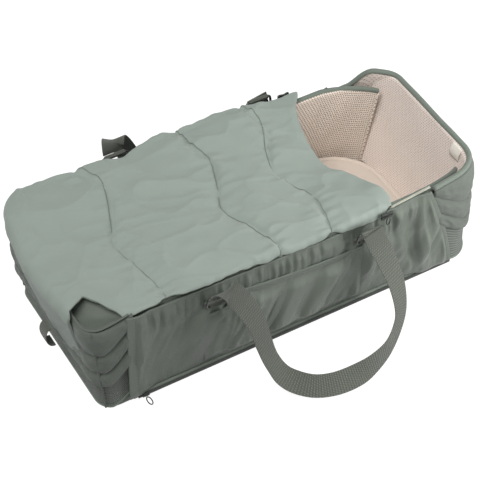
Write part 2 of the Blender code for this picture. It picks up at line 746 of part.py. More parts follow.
def ring_wire(name, x_mid, inner_bar, outer_bar, side, parent):
    """Rectangular wire ring between its two long bars, with rounded corners."""
    first = Vector((0.0, side * inner_bar[0], inner_bar[1]))
    second = Vector((0.0, side * outer_bar[0], outer_bar[1]))
    corner = RING_WIRE * 2
    half = RING_W / 2
    up = (second - first).normalized()
    height = (second - first).length
    points = []
    spots = ((half, height, 0), (-half, height, 1), (-half, 0.0, 2), (half, 0.0, 3))
    for x, level, quarter in spots:
        cx = x - corner if x > 0 else x + corner
        cz = level - corner if level > 0 else corner
        for i in range(4):
            angle = (quarter + i / 3) * pi / 2
            across = cx + corner * cos(angle)
            points.append(Vector((x_mid + across, 0.0, 0.0)) + first + up * (cz + corner * sin(angle)))
    return tube(name, points, RING_WIRE, METAL, parent, closed=True)


def outer_bar_place():
    tilt = radians(RING_TILT)
    return RING_Y + RING_H * sin(tilt), RING_Z + RING_H * cos(tilt)


# strap route from the foot ring round to the head ring: shares of half the span, of the reach
# and of the drop, then the direction of the strap's width
HANDLE_ROUTE_SHARES = (
    (-1.00, 0.094, 1.00, (1.0, 0.0, 0.0)),
    (-1.00, 0.108, 0.95, (1.0, 0.0, 0.0)),
    (-0.92, 0.17, 0.84, (1.0, 0.1, 0.0)),
    (-0.74, 0.28, 0.62, (0.97, 0.25, 0.0)),
    (-0.66, 0.36, 0.40, (0.90, 0.42, 0.0)),
    (-0.57, 0.46, 0.20, (0.77, 0.62, 0.10)),
    (-0.46, 0.64, 0.125, (0.45, 0.80, 0.35)),
    (-0.24, 0.86, 0.085, (0.12, 0.80, 0.58)),
    (0.06, 0.97, 0.075, (0.0, 0.78, 0.63)),
    (0.34, 1.00, 0.09, (0.0, 0.55, 0.83)),
    (0.62, 0.96, 0.105, (-0.10, 0.15, 0.97)),
    (0.92, 0.83, 0.12, (-0.30, 0.0, 0.92)),
    (1.13, 0.64, 0.19, (-0.62, -0.22, 0.72)),
    (1.22, 0.52, 0.34, (-0.86, -0.36, 0.30)),
    (1.20, 0.40, 0.52, (-0.93, -0.34, 0.05)),
    (1.10, 0.25, 0.74, (-1.0, -0.08, 0.0)),
    (1.00, 0.122, 0.95, (-1.0, 0.0, 0.0)),
    (1.00, 0.099, 1.00, (-1.0, 0.0, 0.0)),
)


def make_handle(name, side):
    """Tabs, rings, sewn strap ends and the loop of one carry handle."""
    bar_y, bar_z = outer_bar_place()
    eye_r = RING_WIRE + EYE_CLEAR + WEBBING_T / 2
    rings = pivot(f"ring_pivot_{name}", (0.0, side * RING_Y, RING_Z))
    swing_y = bar_y + eye_r + WEBBING_T + GAP
    swing = pivot(f"handle_pivot_{name}", (0.0, side * swing_y, bar_z))
    swing.parent = rings
    swing.matrix_parent_inverse = rings.matrix_world.inverted()
    bpy.context.view_layer.update()
    seat = WALL_OUTER_Y + 2 * GAP + SKIRT_THICK + GATHER_DEPTH + WEBBING_T / 2
    for end, x_mid in (("foot", RING_FOOT_X), ("head", RING_HEAD_X)):
        tab = eye((RING_Y, RING_Z), eye_r, -85.0, 170.0, 10)
        tab += [(seat, RING_Z - TAB_LEG * 0.3), (seat, RING_Z - TAB_LEG)]
        webbing_fold(f"ring_tab_{name}_{end}", tab, x_mid, WEBBING_W, side, WEBBING)
        ring_wire(f"ring_{name}_{end}", x_mid, (RING_Y, RING_Z), (bar_y, bar_z), side, rings)
        fold = eye((bar_y, bar_z), eye_r, -20.0, 270.0, 10)
        webbing_fold(f"handle_end_{name}_{end}", fold, x_mid, WEBBING_W, side, WEBBING, rings)
    half = (RING_HEAD_X - RING_FOOT_X) / 2
    middle = (RING_HEAD_X + RING_FOOT_X) / 2
    knots = []
    widths = []
    for x_share, y_share, z_share, across in HANDLE_ROUTE_SHARES:
        knots.append((middle + half * x_share, side * (RING_Y + HANDLE_REACH * y_share), bar_z * z_share))
        widths.append((across[0], -side * across[1], across[2]))
    steps = 3
    centres = catmull(knots, steps)
    across = [v.normalized() for v in catmull(widths, steps)]
    normals = []
    sides = []
    for i, wide in enumerate(across):
        ahead = (centres[min(i + 1, len(centres) - 1)] - centres[max(i - 1, 0)]).normalized()
        if min(i, len(across) - 1 - i) <= steps:
            ahead = Vector((0.0, 0.0, ahead.z)).normalized()
        wide = (wide - ahead * wide.dot(ahead)).normalized()
        sides.append(wide)
        normals.append(ahead.cross(wide))
    strip(f"handle_{name}", centres, sides, normals, WEBBING_W, WEBBING_T, WEBBING, swing)


def make_foot_loop():
    """A sewn webbing loop at the middle of the foot end."""
    def face_x(z):
        fall = (COVER_TOP_Z - z) / (COVER_TOP_Z - FLAP_BOTTOM_Z)
        return FLAP_X - PUFF + FLAP_LEAN * fall - 5 * GAP

    outer = []
    inner = []
    steps = 8
    for i in range(steps + 1):
        angle = pi * i / steps
        for line, thick in ((outer, 0.0), (inner, WEBBING_T)):
            z = LOOP_Z + (LOOP_HALF_H - thick) * cos(angle)
            line.append((face_x(z) - (LOOP_OUT - thick) * sin(angle), z))
    band = outer + inner[::-1]
    rings = [[(x, y, z) for x, z in band] for y in (LOOP_Y - LOOP_W / 2, LOOP_Y + LOOP_W / 2)]
    finish_mesh("foot_loop", loft(rings), WEBBING, None, 35.0)


clear_scene()
PARTS = make_collection("carrycot")
SHELL = make_material("shell_fabric", (0.24, 0.28, 0.24), 0.8)
COVER = make_material("cover_fabric", (0.33, 0.39, 0.345), 0.75)
SKIRT = make_material("skirt_fabric", (0.13, 0.155, 0.125), 0.6)
KNIT = make_material("ribbed_knit", (0.17, 0.19, 0.16), 0.9)
TRIM = make_material("edge_binding", (0.12, 0.16, 0.125), 0.7)
LINING = make_material("mesh_lining", (0.55, 0.46, 0.39), 0.9)
BOARD = make_material("base_board", (0.35, 0.25, 0.16), 0.8)
WEBBING = make_material("webbing", (0.16, 0.17, 0.145), 0.8)
TAPE = make_material("zip_tape", (0.60, 0.60, 0.52), 0.8)
TAPE_DARK = make_material("dark_zip_tape", (0.05, 0.055, 0.048), 0.8)
METAL = make_material("coated_metal", (0.05, 0.055, 0.05), 0.35, 0.8)

make_base()
make_mattress()
make_side_walls()
make_ends()
make_skirts()
make_pockets()
make_cover()
make_gussets()
make_zips()
make_base_zip()
for side_name, side_sign in SIDES.items():
    make_handle(side_name, side_sign)
make_foot_loop()
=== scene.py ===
import bpy
import bmesh
from math import acos, atan2, cos, exp, pi, radians, sin, sqrt
from mathutils import Matrix, Vector, noise


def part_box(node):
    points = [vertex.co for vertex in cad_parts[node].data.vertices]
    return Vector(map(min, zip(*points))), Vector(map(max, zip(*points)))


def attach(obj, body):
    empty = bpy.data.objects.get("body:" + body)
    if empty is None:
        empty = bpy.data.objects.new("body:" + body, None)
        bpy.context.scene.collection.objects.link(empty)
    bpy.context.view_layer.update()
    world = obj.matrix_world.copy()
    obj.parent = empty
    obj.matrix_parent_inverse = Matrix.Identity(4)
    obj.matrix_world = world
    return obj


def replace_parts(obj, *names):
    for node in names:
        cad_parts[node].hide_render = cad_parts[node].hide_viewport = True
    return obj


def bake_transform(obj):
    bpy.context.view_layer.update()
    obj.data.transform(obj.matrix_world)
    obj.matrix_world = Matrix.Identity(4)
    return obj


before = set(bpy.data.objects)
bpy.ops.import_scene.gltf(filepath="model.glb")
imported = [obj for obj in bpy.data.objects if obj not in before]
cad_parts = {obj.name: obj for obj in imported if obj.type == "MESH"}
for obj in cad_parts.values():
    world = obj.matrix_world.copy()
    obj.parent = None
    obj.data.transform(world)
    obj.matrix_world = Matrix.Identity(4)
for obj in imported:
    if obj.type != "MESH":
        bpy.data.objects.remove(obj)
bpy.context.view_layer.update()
nearAndFar = {"near": -1, "far": 1}
print("stage 1: frame loaded")


def mixOf(a, b, share):
    return a + (b - a) * share


def ease(low, high, value):  # 0 before low, 1 after high, smooth between
    share = min(max((value - low) / (high - low), 0.0), 1.0)
    return share * share * (3 - 2 * share)


def bump(distance, width):  # 1 on the line, fading over width
    return exp(-(distance / width) ** 2)


def alongPoints(points, at):  # smooth value through (place, value) pairs, places rising
    if at <= points[0][0]:
        return points[0][1]
    if at >= points[-1][0]:
        return points[-1][1]
    for i in range(len(points) - 1):
        (a, first), (b, second) = points[i], points[i + 1]
        if a <= at <= b:
            before = points[max(i - 1, 0)]
            after = points[min(i + 2, len(points) - 1)]
            leave = (second - before[1]) / (b - before[0]) * (b - a)
            arrive = (after[1] - first) / (after[0] - a) * (b - a)
            t = (at - a) / (b - a)
            return (first * (2 * t ** 3 - 3 * t ** 2 + 1) + leave * (t ** 3 - 2 * t ** 2 + t)
                    + second * (3 * t ** 2 - 2 * t ** 3) + arrive * (t ** 3 - t ** 2))


def rough(x, y, z, scale):  # smooth noise from -1 to 1, features of about scale metres
    return noise.noise(Vector((x, y, z)) / scale)


def curveThrough(knots, steps):  # points on a smooth curve through the knots
    knots = [Vector(k) for k in knots]
    ends = [knots[0] * 2 - knots[1], *knots, knots[-1] * 2 - knots[-2]]
    points = []
    for i in range(1, len(ends) - 2):
        a, b, c, d = ends[i - 1:i + 3]
        for k in range(steps):
            t = k / steps
            points.append(0.5 * (2 * b + (c - a) * t + (2 * a - 5 * b + 4 * c - d) * t ** 2
                                 + (3 * b - a - 3 * c + d) * t ** 3))
    points.append(knots[-1])
    return points


# materials

def fabricNodes(name, colour, roughness, sheen=0.0):
    mat = bpy.data.materials.new(name)
    mat.use_nodes = True
    shader = mat.node_tree.nodes["Principled BSDF"]
    shader.inputs["Base Color"].default_value = (*colour, 1)
    shader.inputs["Roughness"].default_value = roughness
    shader.inputs["Sheen Weight"].default_value = sheen
    shader.inputs["Sheen Roughness"].default_value = 0.5
    return mat, shader


class Wires:  # short words for the nodes that the fabrics share
    def __init__(self, mat):
        self.tree = mat.node_tree

    def node(self, kind, **values):
        made = self.tree.nodes.new(kind)
        for key, value in values.items():
            if key in made.inputs:
                made.inputs[key].default_value = value
            else:
                setattr(made, key, value)
        return made

    def join(self, start, end):
        self.tree.links.new(start, end)

    def math(self, operation, a, b=0.0):
        made = self.node("ShaderNodeMath", operation=operation)
        for i, value in enumerate((a, b)):
            if isinstance(value, (int, float)):
                made.inputs[i].default_value = value
            else:
                self.join(value, made.inputs[i])
        return made.outputs[0]

    def vector(self, operation, a, b=(0, 0, 0)):
        made = self.node("ShaderNodeVectorMath", operation=operation)
        for i, value in enumerate((a, b)):
            if isinstance(value, tuple):
                made.inputs[i].default_value = value
            else:
                self.join(value, made.inputs[i])
        return made.outputs["Value" if operation == "LENGTH" else "Vector"]

    def clothPlace(self):  # place on the cloth in metres, along and across
        return self.node("ShaderNodeUVMap", uv_map="cloth").outputs[0]

    def clothNoise(self, place, scale, detail):
        made = self.node("ShaderNodeTexNoise", Scale=scale, Detail=detail)
        self.join(place, made.inputs["Vector"])
        return made

    def tint(self, factor, dark, light):
        made = self.node("ShaderNodeMix", data_type="RGBA")
        self.join(factor, made.inputs[0])
        made.inputs[6].default_value = (*dark, 1)
        made.inputs[7].default_value = (*light, 1)
        return made.outputs[2]

    def mixed(self, first, amount, second, other):
        return self.math("ADD", self.math("MULTIPLY", first.outputs[0], amount),
                         self.math("MULTIPLY", second.outputs[0], other))

    def raised(self, height, distance, strength, shader):
        made = self.node("ShaderNodeBump", Strength=strength, Distance=distance)
        self.join(height, made.inputs["Height"])
        self.join(made.outputs[0], shader.inputs["Normal"])
        return made


def scaled(colour, factor):
    return tuple(c * factor for c in colour)


def wovenMaterial(name, colour, threads=1600, depth=0.00012, shadeAmount=0.06, roughness=0.8, sheen=0.25,
                  crumple=0.0):
    # threads counts the weave's lines to a metre
    mat, shader = fabricNodes(name, colour, roughness, sheen)
    w = Wires(mat)
    place = w.clothPlace()
    grid = w.vector("MULTIPLY", place, (threads * pi, threads * pi, 0))
    split = w.node("ShaderNodeSeparateXYZ")
    w.join(grid, split.inputs[0])
    warp = w.math("SINE", split.outputs[0])
    weft = w.math("SINE", split.outputs[1])
    weave = w.math("MULTIPLY", warp, weft)
    patches = w.clothNoise(place, 14.0, 3.0)
    fine = w.clothNoise(place, 420.0, 2.0)
    both = w.mixed(patches, 0.6, fine, 0.4)
    w.join(w.tint(both, scaled(colour, 1 - shadeAmount), scaled(colour, 1 + shadeAmount)),
           shader.inputs["Base Color"])
    creases = w.clothNoise(place, 55.0, 4.0)
    height = w.math("ADD", weave, w.math("MULTIPLY", creases.outputs[0], 6 * crumple))
    w.raised(height, depth, 0.7, shader)
    return mat


def meshMaterial(name, colour, pitch=0.0052, holeShare=0.34, holeShade=0.45):
    # pitch is the way between holes along a row, in metres
    mat, shader = fabricNodes(name, colour, 0.9, 0.2)
    w = Wires(mat)
    place = w.clothPlace()
    cells = w.vector("MULTIPLY", place, (1 / pitch, 1 / (pitch * sqrt(3)), 0))
    gaps = []
    for shift in (0.0, 0.5):
        moved = w.vector("ADD", cells, (shift, shift, 0))
        local = w.vector("SUBTRACT", w.vector("FRACTION", moved), (0.5, 0.5, 0))
        gaps.append(w.vector("LENGTH", w.vector("MULTIPLY", local, (1.0, sqrt(3), 0))))
    nearest = w.math("MINIMUM", *gaps)
    hole = w.node("ShaderNodeMapRange", interpolation_type="SMOOTHSTEP")
    w.join(nearest, hole.inputs["Value"])
    for key, value in (("From Min", holeShare * 0.55), ("From Max", holeShare * 1.25)):
        hole.inputs[key].default_value = value
    patches = w.clothNoise(place, 22.0, 2.0)
    uneven = w.math("ADD", w.math("MULTIPLY", patches.outputs[0], 0.12), 0.92)
    open_ = w.math("MULTIPLY", hole.outputs[0], uneven)
    w.join(w.tint(open_, scaled(colour, holeShade), colour), shader.inputs["Base Color"])
    w.raised(hole.outputs[0], 0.0011, 0.8, shader)
    return mat


def ribMaterial(name, colour, ribs, depth=0.0004, dark=0.72, cross=0.0):
    # ribs counts the ribs to a metre, cross the picks of a twill over them; dark tints the valleys between
    # them darker, which is painted shade
    mat, shader = fabricNodes(name, colour, 0.8, 0.2)
    w = Wires(mat)
    place = w.clothPlace()
    split = w.node("ShaderNodeSeparateXYZ")
    w.join(place, split.inputs[0])
    along, over = split.outputs[0], split.outputs[1]
    wave = w.math("SINE", w.math("MULTIPLY", over, ribs * 2 * pi))
    wave = w.math("ADD", w.math("MULTIPLY", wave, 0.5), 0.5)
    if cross:
        picks = w.math("SINE", w.math("ADD", w.math("MULTIPLY", along, cross * 2 * pi),
                                      w.math("MULTIPLY", over, ribs * pi)))
        wave = w.math("MULTIPLY", wave, w.math("ADD", w.math("MULTIPLY", picks, 0.35), 0.65))
    fine = w.clothNoise(place, 300.0, 2.0)
    mixed = w.math("ADD", w.math("MULTIPLY", wave, 0.8), w.math("MULTIPLY", fine.outputs[0], 0.2))
    # painted shade: the valleys of the ribs and picks are tinted darker than their crests
    w.join(w.tint(mixed, scaled(colour, dark), scaled(colour, 1.06)), shader.inputs["Base Color"])
    w.raised(wave, depth, 0.8, shader)
    return mat


def metalMaterial(name, colour, roughness=0.38):
    mat, shader = fabricNodes(name, colour, roughness)
    shader.inputs["Metallic"].default_value = 0.75
    w = Wires(mat)
    spots = w.node("ShaderNodeTexNoise", Scale=160.0, Detail=3.0)
    w.join(w.tint(spots.outputs[0], scaled(colour, 0.8), scaled(colour, 1.25)), shader.inputs["Base Color"])
    w.raised(spots.outputs[0], 0.0001, 0.3, shader)
    return mat


coverFabric = wovenMaterial("cover fabric", (0.305, 0.358, 0.318), sheen=0.25, crumple=0.25)
# the shell and skirt colours are the cover's green fabric made darker: painted shade for the walls, skirts
# and pockets, which face sideways
shadedShellFabric = wovenMaterial("shaded shell fabric", (0.116, 0.135, 0.113), sheen=0.2, crumple=0.3)
shadedSkirtFabric = wovenMaterial("shaded skirt fabric", (0.126, 0.149, 0.121), roughness=0.36, sheen=0.15, crumple=0.3)
bindingFabric = wovenMaterial("edge binding", (0.165, 0.196, 0.162), threads=900, depth=0.0002,
                              roughness=0.75)
liningShade = wovenMaterial("cover lining", (0.40, 0.37, 0.32), sheen=0.1)
meshFabric = meshMaterial("spacer mesh", (0.93, 0.81, 0.70), holeShare=0.30, holeShade=0.42)
fineMesh = meshMaterial("fine spacer mesh", (0.93, 0.81, 0.73), pitch=0.0048, holeShare=0.22, holeShade=0.60)
seamShade = wovenMaterial("sewn seam", (0.075, 0.09, 0.07), threads=2500, roughness=0.8)
jersey = wovenMaterial("mattress jersey", (0.66, 0.57, 0.49), threads=1100, sheen=0.3, shadeAmount=0.03)
# knit band, webbing and zip tapes: the dark factor is painted shade in their rib valleys
knitBand = ribMaterial("ribbed knit", (0.185, 0.21, 0.178), ribs=210, depth=0.0020, dark=0.36)
strapWebbing = ribMaterial("strap webbing", (0.146, 0.160, 0.130), ribs=250, depth=0.0014, dark=0.42,
                           cross=260)
zipWeave = ribMaterial("zip tape", (0.60, 0.61, 0.51), ribs=700, depth=0.0002, dark=0.85)
darkZipWeave = ribMaterial("dark zip tape", (0.05, 0.055, 0.048), ribs=700, depth=0.0002, dark=0.7)
labelTape = wovenMaterial("label tape", (0.90, 0.85, 0.76), threads=2400, depth=0.00008)
coatedMetal = metalMaterial("coated metal", (0.055, 0.06, 0.053))
threadColour = wovenMaterial("sewing thread", (0.17, 0.2, 0.165), threads=2500, roughness=0.6)
shadedSkirtFabric.node_tree.nodes["Principled BSDF"].inputs["Specular IOR Level"].default_value = 0.32
boardWood = wovenMaterial("fibreboard", (0.35, 0.25, 0.16), threads=260, depth=0.0002, shadeAmount=0.16,
                          sheen=0.0)
print("stage 2: materials made")


# meshes

def clothObject(name, points, wide, long, mats, closed=False):
    # points are rows of places; wide and long give each row's and column's way in metres, for the weave
    mesh = bpy.data.meshes.new(name)
    rows, columns = len(points), len(points[0])
    faces = []
    for i in range(rows - 1):
        for j in range(columns if closed else columns - 1):
            k = (j + 1) % columns
            faces.append((i * columns + j, i * columns + k, (i + 1) * columns + k, (i + 1) * columns + j))
    mesh.from_pydata([p for row in points for p in row], [], faces)
    cloth = mesh.uv_layers.new(name="cloth")
    for face in mesh.polygons:
        wrap = closed and {v % columns for v in face.vertices} == {0, columns - 1}
        for corner, vertex in zip(face.loop_indices, face.vertices):
            column = vertex % columns
            share = (columns if wrap and column == 0 else column) / (columns if closed else columns - 1)
            cloth.data[corner].uv = (share * wide, vertex // columns / (rows - 1) * long)
    return pieceFrom(name, mesh, mats)


def pieceFrom(name, mesh, mats):
    for mat in mats:
        mesh.materials.append(mat)
    mesh.shade_smooth()
    piece = bpy.data.objects.new(name, mesh)
    bpy.context.scene.collection.objects.link(piece)
    return piece


def pieceFromWork(name, bm, mat):  # a finished bmesh becomes a piece
    mesh = bpy.data.meshes.new(name)
    bm.to_mesh(mesh)
    bm.free()
    mesh.uv_layers.new(name="cloth")
    return pieceFrom(name, mesh, [mat])


def closeEnds(piece, count):  # faces over the first and last ring of count points, or the rings joined
    bm = bmesh.new()
    bm.from_mesh(piece.data)
    bm.verts.ensure_lookup_table()
    if count:
        bm.faces.new([bm.verts[i] for i in range(count)])
        bm.faces.new([bm.verts[len(bm.verts) - count + i] for i in range(count)])
    else:
        bmesh.ops.remove_doubles(bm, verts=bm.verts[:], dist=1e-7)
    bmesh.ops.recalc_face_normals(bm, faces=bm.faces[:])
    bm.to_mesh(piece.data)
    bm.free()


def put(piece, body, node=None):
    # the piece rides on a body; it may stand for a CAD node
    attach(piece, body)
    if node:
        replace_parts(piece, node)
    return piece


def thicken(piece, thick, offset=-1.0, finer=1, inside=0):
    shell = piece.modifiers.new("thickness", "SOLIDIFY")
    shell.thickness = thick
    shell.offset = offset
    shell.use_even_offset = True
    shell.material_offset = inside
    if finer:
        rounds = piece.modifiers.new("rounding", "SUBSURF")
        rounds.levels = rounds.render_levels = finer
    return piece


def sweep(name, path, profile, mats, upward=Vector((0, 0, 1)), closed=False):
    # a profile of (across, up) pairs carried along a path
    path = [Vector(p) for p in path]
    rows = []
    travelled = 0.0
    for i, place in enumerate(path):
        ahead = path[(i + 1) % len(path)] - path[i - 1] if closed else \
            path[min(i + 1, len(path) - 1)] - path[max(i - 1, 0)]
        ahead.normalize()
        across = ahead.cross(upward).normalized()
        up = across.cross(ahead)
        rows.append([place + across * a + up * b for a, b in profile])
        travelled += (place - path[i - 1]).length if i else 0.0
    if closed:
        rows.append(rows[0])
    around = sum((Vector(profile[i]) - Vector(profile[i - 1])).length for i in range(len(profile)))
    piece = clothObject(name, rows, around, travelled, mats, closed=True)
    closeEnds(piece, 0 if closed else len(profile))
    return piece


def circle(radius, sides=10, squash=1.0):
    return [(radius * cos(2 * pi * i / sides), radius * squash * sin(2 * pi * i / sides))
            for i in range(sides)]


def stitches(name, path, length, gap, radius):
    # a row of short threads along a line, as one piece
    bm = bmesh.new()
    path = [Vector(p) for p in path]
    lengths = [0.0]
    for a, b in zip(path, path[1:]):
        lengths.append(lengths[-1] + (b - a).length)

    def at(way):
        for i in range(len(path) - 1):
            if lengths[i + 1] >= way:
                share = (way - lengths[i]) / max(lengths[i + 1] - lengths[i], 1e-9)
                return path[i].lerp(path[i + 1], share)
        return path[-1]

    way = gap / 2
    while way + length < lengths[-1]:
        start, end = at(way), at(way + length)
        ahead = (end - start).normalized()
        turn = ahead.to_track_quat("Z", "Y").to_matrix().to_4x4()
        turn.translation = (start + end) / 2
        made = bmesh.ops.create_uvsphere(bm, u_segments=6, v_segments=4, radius=1.0)
        bmesh.ops.scale(bm, vec=(radius, radius, length / 2), verts=made["verts"])
        bmesh.ops.transform(bm, matrix=turn, verts=made["verts"])
        way += length + gap
    return pieceFromWork(name, bm, threadColour)


# the padded side walls, which curl in at the head

wallSizes = {"outer": 0.152, "thick": 0.012, "tail": -0.292, "bend": 0.236, "tipX": 0.333,
             "tipY": {-1: 0.130, 1: 0.109},
             "rake": 0.034, "height": 0.195, "tipFall": {-1: 0.0, 1: 0.009}}
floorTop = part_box("base_panel")[1].z
gap = 0.0003


def wallPath(z, side, rows=60):
    s = wallSizes
    rake = s["rake"] * (1 - z / s["height"])
    knots = [Vector((s["tail"], s["outer"])), Vector((s["bend"] - rake, s["outer"]))]
    tip = Vector((s["tipX"] - rake, s["tipY"][side]))
    pull = (knots[1] + tip).lerp(2 * Vector((tip.x - s["thick"], s["outer"])), 0.5) / 2
    points = [knots[0].lerp(knots[1], i / rows) for i in range(rows)]
    for i in range(17):
        t = i / 16
        points.append(knots[1] * (1 - t) ** 2 + pull * (2 * t * (1 - t)) + tip * t * t)
    return points


def wallFall(share, z, side):  # the top edge sinks towards the free end
    return wallSizes["tipFall"][side] * ease(0.78, 1.0, share) * (z / wallSizes["height"]) ** 3


def wallRing(z, side):
    s = wallSizes
    line = wallPath(z, side)
    inner = []
    for i, point in enumerate(line):
        ahead = (line[min(i + 1, len(line) - 1)] - line[max(i - 1, 0)]).normalized()
        puff = 0.0008 * sin(i * 0.7) * sin(z * 60)
        thin = 1 - 0.6 * ease(0.80, 1.0, i / (len(line) - 1))
        inner.append(point + Vector((ahead.y, -ahead.x)) * (s["thick"] - gap + puff) * thin)
    falls = [wallFall(i / (len(line) - 1), z, side) for i in range(len(line))]
    return ([(p.x, p.y * side, z - f) for p, f in zip(line, falls)],
            [(p.x, p.y * side, z - f) for p, f in zip(inner, falls)])


def makeSideWalls():
    s = wallSizes
    rows = 26
    for name, side in nearAndFar.items():
        outerRows, innerRows = [], []
        for k in range(rows + 1):
            z = mixOf(floorTop + gap, s["height"], k / rows)
            outer, inner = wallRing(z, side)
            outerRows.append(outer)
            innerRows.append(inner)
        length = s["tipX"] - s["tail"]
        height = s["height"] - floorTop
        shell = clothObject(f"wall_shell_{name}", outerRows, length, height, [shadedShellFabric])
        thicken(shell, 0.003, side, 0)
        lining = clothObject(f"mesh_lining_{name}", innerRows, length, height, [meshFabric])
        thicken(lining, 0.0044, -side, 0)
        for piece in (shell, lining):
            put(piece, "cot")
        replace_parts(lining, f"side_wall_{name}")
        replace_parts(shell, f"side_wall_{name}")
        # a binding runs inside the top edge; the free end is rolled mesh
        path = []
        outer, inner = wallRing(s["height"], side)
        for a, b in zip(outer, inner):
            path.append(Vector(a).lerp(Vector(b), 0.6) + Vector((0, 0, -0.0008)))
        roll = circle(0.0040, 14, 1.25)
        binding = sweep(f"wall_binding_roll_{name}", path, roll, [bindingFabric])
        put(binding, "cot", f"wall_binding_{name}")
        tipLine = []
        for k in range(14):
            z = mixOf(s["height"] - 0.002, floorTop + 0.01, k / 13)
            outer, inner = wallRing(z, side)
            tipLine.append(Vector(outer[-1]).lerp(Vector(inner[-1]), 0.5))
        edge = sweep(f"wall_end_roll_{name}", tipLine, circle(0.0029, 12, 0.0026 / 0.0029), [meshFabric],
                     upward=Vector((1, 0.0, 0)))
        put(edge, "cot")


# the end walls: channels outside, ribbed band below, mesh inside

endSizes = {"footX": -0.350, "headX": 0.362, "wing": 0.0075, "puff": 0.0072, "binding": 0.0050}
wingIn = wallSizes["outer"] + gap
# each end: seams as (height at the corner, height at the wing's free end), and where its face turns
footEnd = {"tip": -0.298, "turnLow": -0.3575, "turnHigh": -0.376, "corner": 0.030, "inward": -1,
           "farLean": 0.0, "farFall": 0.0,
           "band": [(0.002, 0.034), (0.057, 0.103)],
           "seams": [(0.057, 0.103), (0.093, 0.150), (0.137, 0.191), (0.1985, 0.2145)]}
headEnd = {"tip": 0.268, "turnLow": 0.3715, "turnHigh": 0.3655, "corner": 0.050, "inward": 1,
           "farLean": 0.026, "farFall": 0.031,
           "band": [(0.002, 0.018), (0.068, 0.122)],
           "seams": [(0.068, 0.122), (0.096, 0.155), (0.139, 0.187), (0.213, 0.200)]}


def endPath(tipX, turnX, outY, corner, count=44):
    sign = 1 if turnX > tipX else -1
    straight = abs(turnX - tipX) - corner
    turn = corner * pi / 2
    half = outY - corner
    total = straight + turn + half
    points = []
    for i in range(count + 1):
        way = total * i / count
        if way <= straight:
            points.append((tipX + sign * way, outY))
        elif way <= straight + turn:
            a = (way - straight) / corner
            points.append((turnX - sign * corner * (1 - sin(a)), outY - corner * (1 - cos(a))))
        else:
            points.append((turnX, outY - corner - (way - straight - turn)))
    return points + [(x, -y) for x, y in reversed(points[:-1])], total


def endRow(end, cornerZ, tipZ, inset=0.0):
    # the line of one height on an end wall: it climbs or falls along the wings
    sign = end["inward"]
    turnX = mixOf(end["turnLow"], end["turnHigh"], cornerZ / 0.2) - sign * inset
    path, total = endPath(end["tip"], turnX, wingIn + endSizes["wing"] - 0.0022 - inset, end["corner"])
    bend = turnX - sign * end["corner"] * 0.55
    row = []
    for x, y in path:
        wing = min(max((x - bend) / (end["tip"] - bend), 0.0), 1.0)
        z = mixOf(cornerZ, tipZ, wing ** 1.15)
        if y > 0:
            z -= end["farFall"] * ease(0.02, 0.62, wing) * ease(0.2, 1.0, cornerZ / 0.21)
            y *= 1 - end["farLean"] * ease(0.280, 0.352, abs(x)) * (z / 0.21) ** 1.5 / 0.16
        row.append((x, y, z, wing))
    return row, total


def outward(row, i):
    a, b = row[max(i - 1, 0)], row[min(i + 1, len(row) - 1)]
    ahead = Vector((b[0] - a[0], b[1] - a[1], 0)).normalized()
    side = ahead.cross(Vector((0, 0, 1)))
    place = Vector((row[i][0], row[i][1], 0))
    return side if side.dot(place) > 0 else -side


def makeChannels(name, end, body):
    e = endSizes
    grid = []
    steps = 12
    seams = end["seams"]
    for n in range(len(seams) - 1):
        for k in range(steps + (1 if n == len(seams) - 2 else 0)):
            t = k / steps
            dome = max(1 - abs(2 * t - 1) ** 2.4, 0.0) ** 0.62
            corner, tip = (mixOf(seams[n][m], seams[n + 1][m], t) for m in (0, 1))
            row, total = endRow(end, corner, tip)
            line = []
            for i, (x, y, z, wing) in enumerate(row):
                tuck = 1 - 0.60 * ease(0.70, 1.0, wing)
                wrinkle = (0.0030 * rough(x * 2.1 + z, y * 1.4, z * 1.2 + n, 0.017)
                           + 0.0012 * rough(x, y, z * 3, 0.008))
                away = outward(row, i) * ((e["puff"] * tuck + wrinkle) * dome)
                line.append((x + away.x, y + away.y, z))
            grid.append(line)
    shell = clothObject(name, grid, 2 * total, 0.16, [shadedShellFabric])
    thicken(shell, 0.0050, end["inward"], 1)
    put(shell, body)
    # a sewn cord lies in each seam
    for n, seam in enumerate(seams[:-1]):
        row, _ = endRow(end, *seam)
        line = [Vector((x, y, z)) + outward(row, i) * 0.0002 for i, (x, y, z, _) in enumerate(row)]
        cord = sweep(f"{name}_seam_{n + 1}", line, circle(0.0013, 6), [seamShade])
        put(cord, body)
    return shell


def makeBand(name, end, body):
    grid = []
    rows = 18
    (lowCorner, lowTip), (highCorner, highTip) = end["band"]
    for k in range(rows + 1):
        t = k / rows
        row, total = endRow(end, mixOf(lowCorner, highCorner, t), mixOf(lowTip, highTip, t))
        pull = 0.0012 * sin(t * pi)
        grid.append([tuple(Vector((x, y, z)) - outward(row, i) * pull) for i, (x, y, z, _) in enumerate(row)])
    band = clothObject(name, grid, 2 * total, 0.058, [knitBand])
    thicken(band, 0.0035, end["inward"], 1)
    put(band, body)
    row, _ = endRow(end, lowCorner + 0.0006, lowTip, 0.0006)
    edge = sweep(f"{name}_lower_edge", [(x, y, z) for x, y, z, _ in row], circle(0.0022, 8), [bindingFabric])
    put(edge, body)
    # plain fabric closes the wing below the band's climbing edge
    under, total = endRow(end, 0.0016, 0.0016, 0.0016)
    over, _ = endRow(end, lowCorner + 0.002, lowTip + 0.003, 0.0016)
    strip = [[p[:3] for p in under], [p[:3] for p in over]]
    plain = clothObject(f"{name}_foot_strip", strip, 2 * total, 0.03, [bindingFabric])
    thicken(plain, 0.002, end["inward"], 0)
    put(plain, body)
    return band


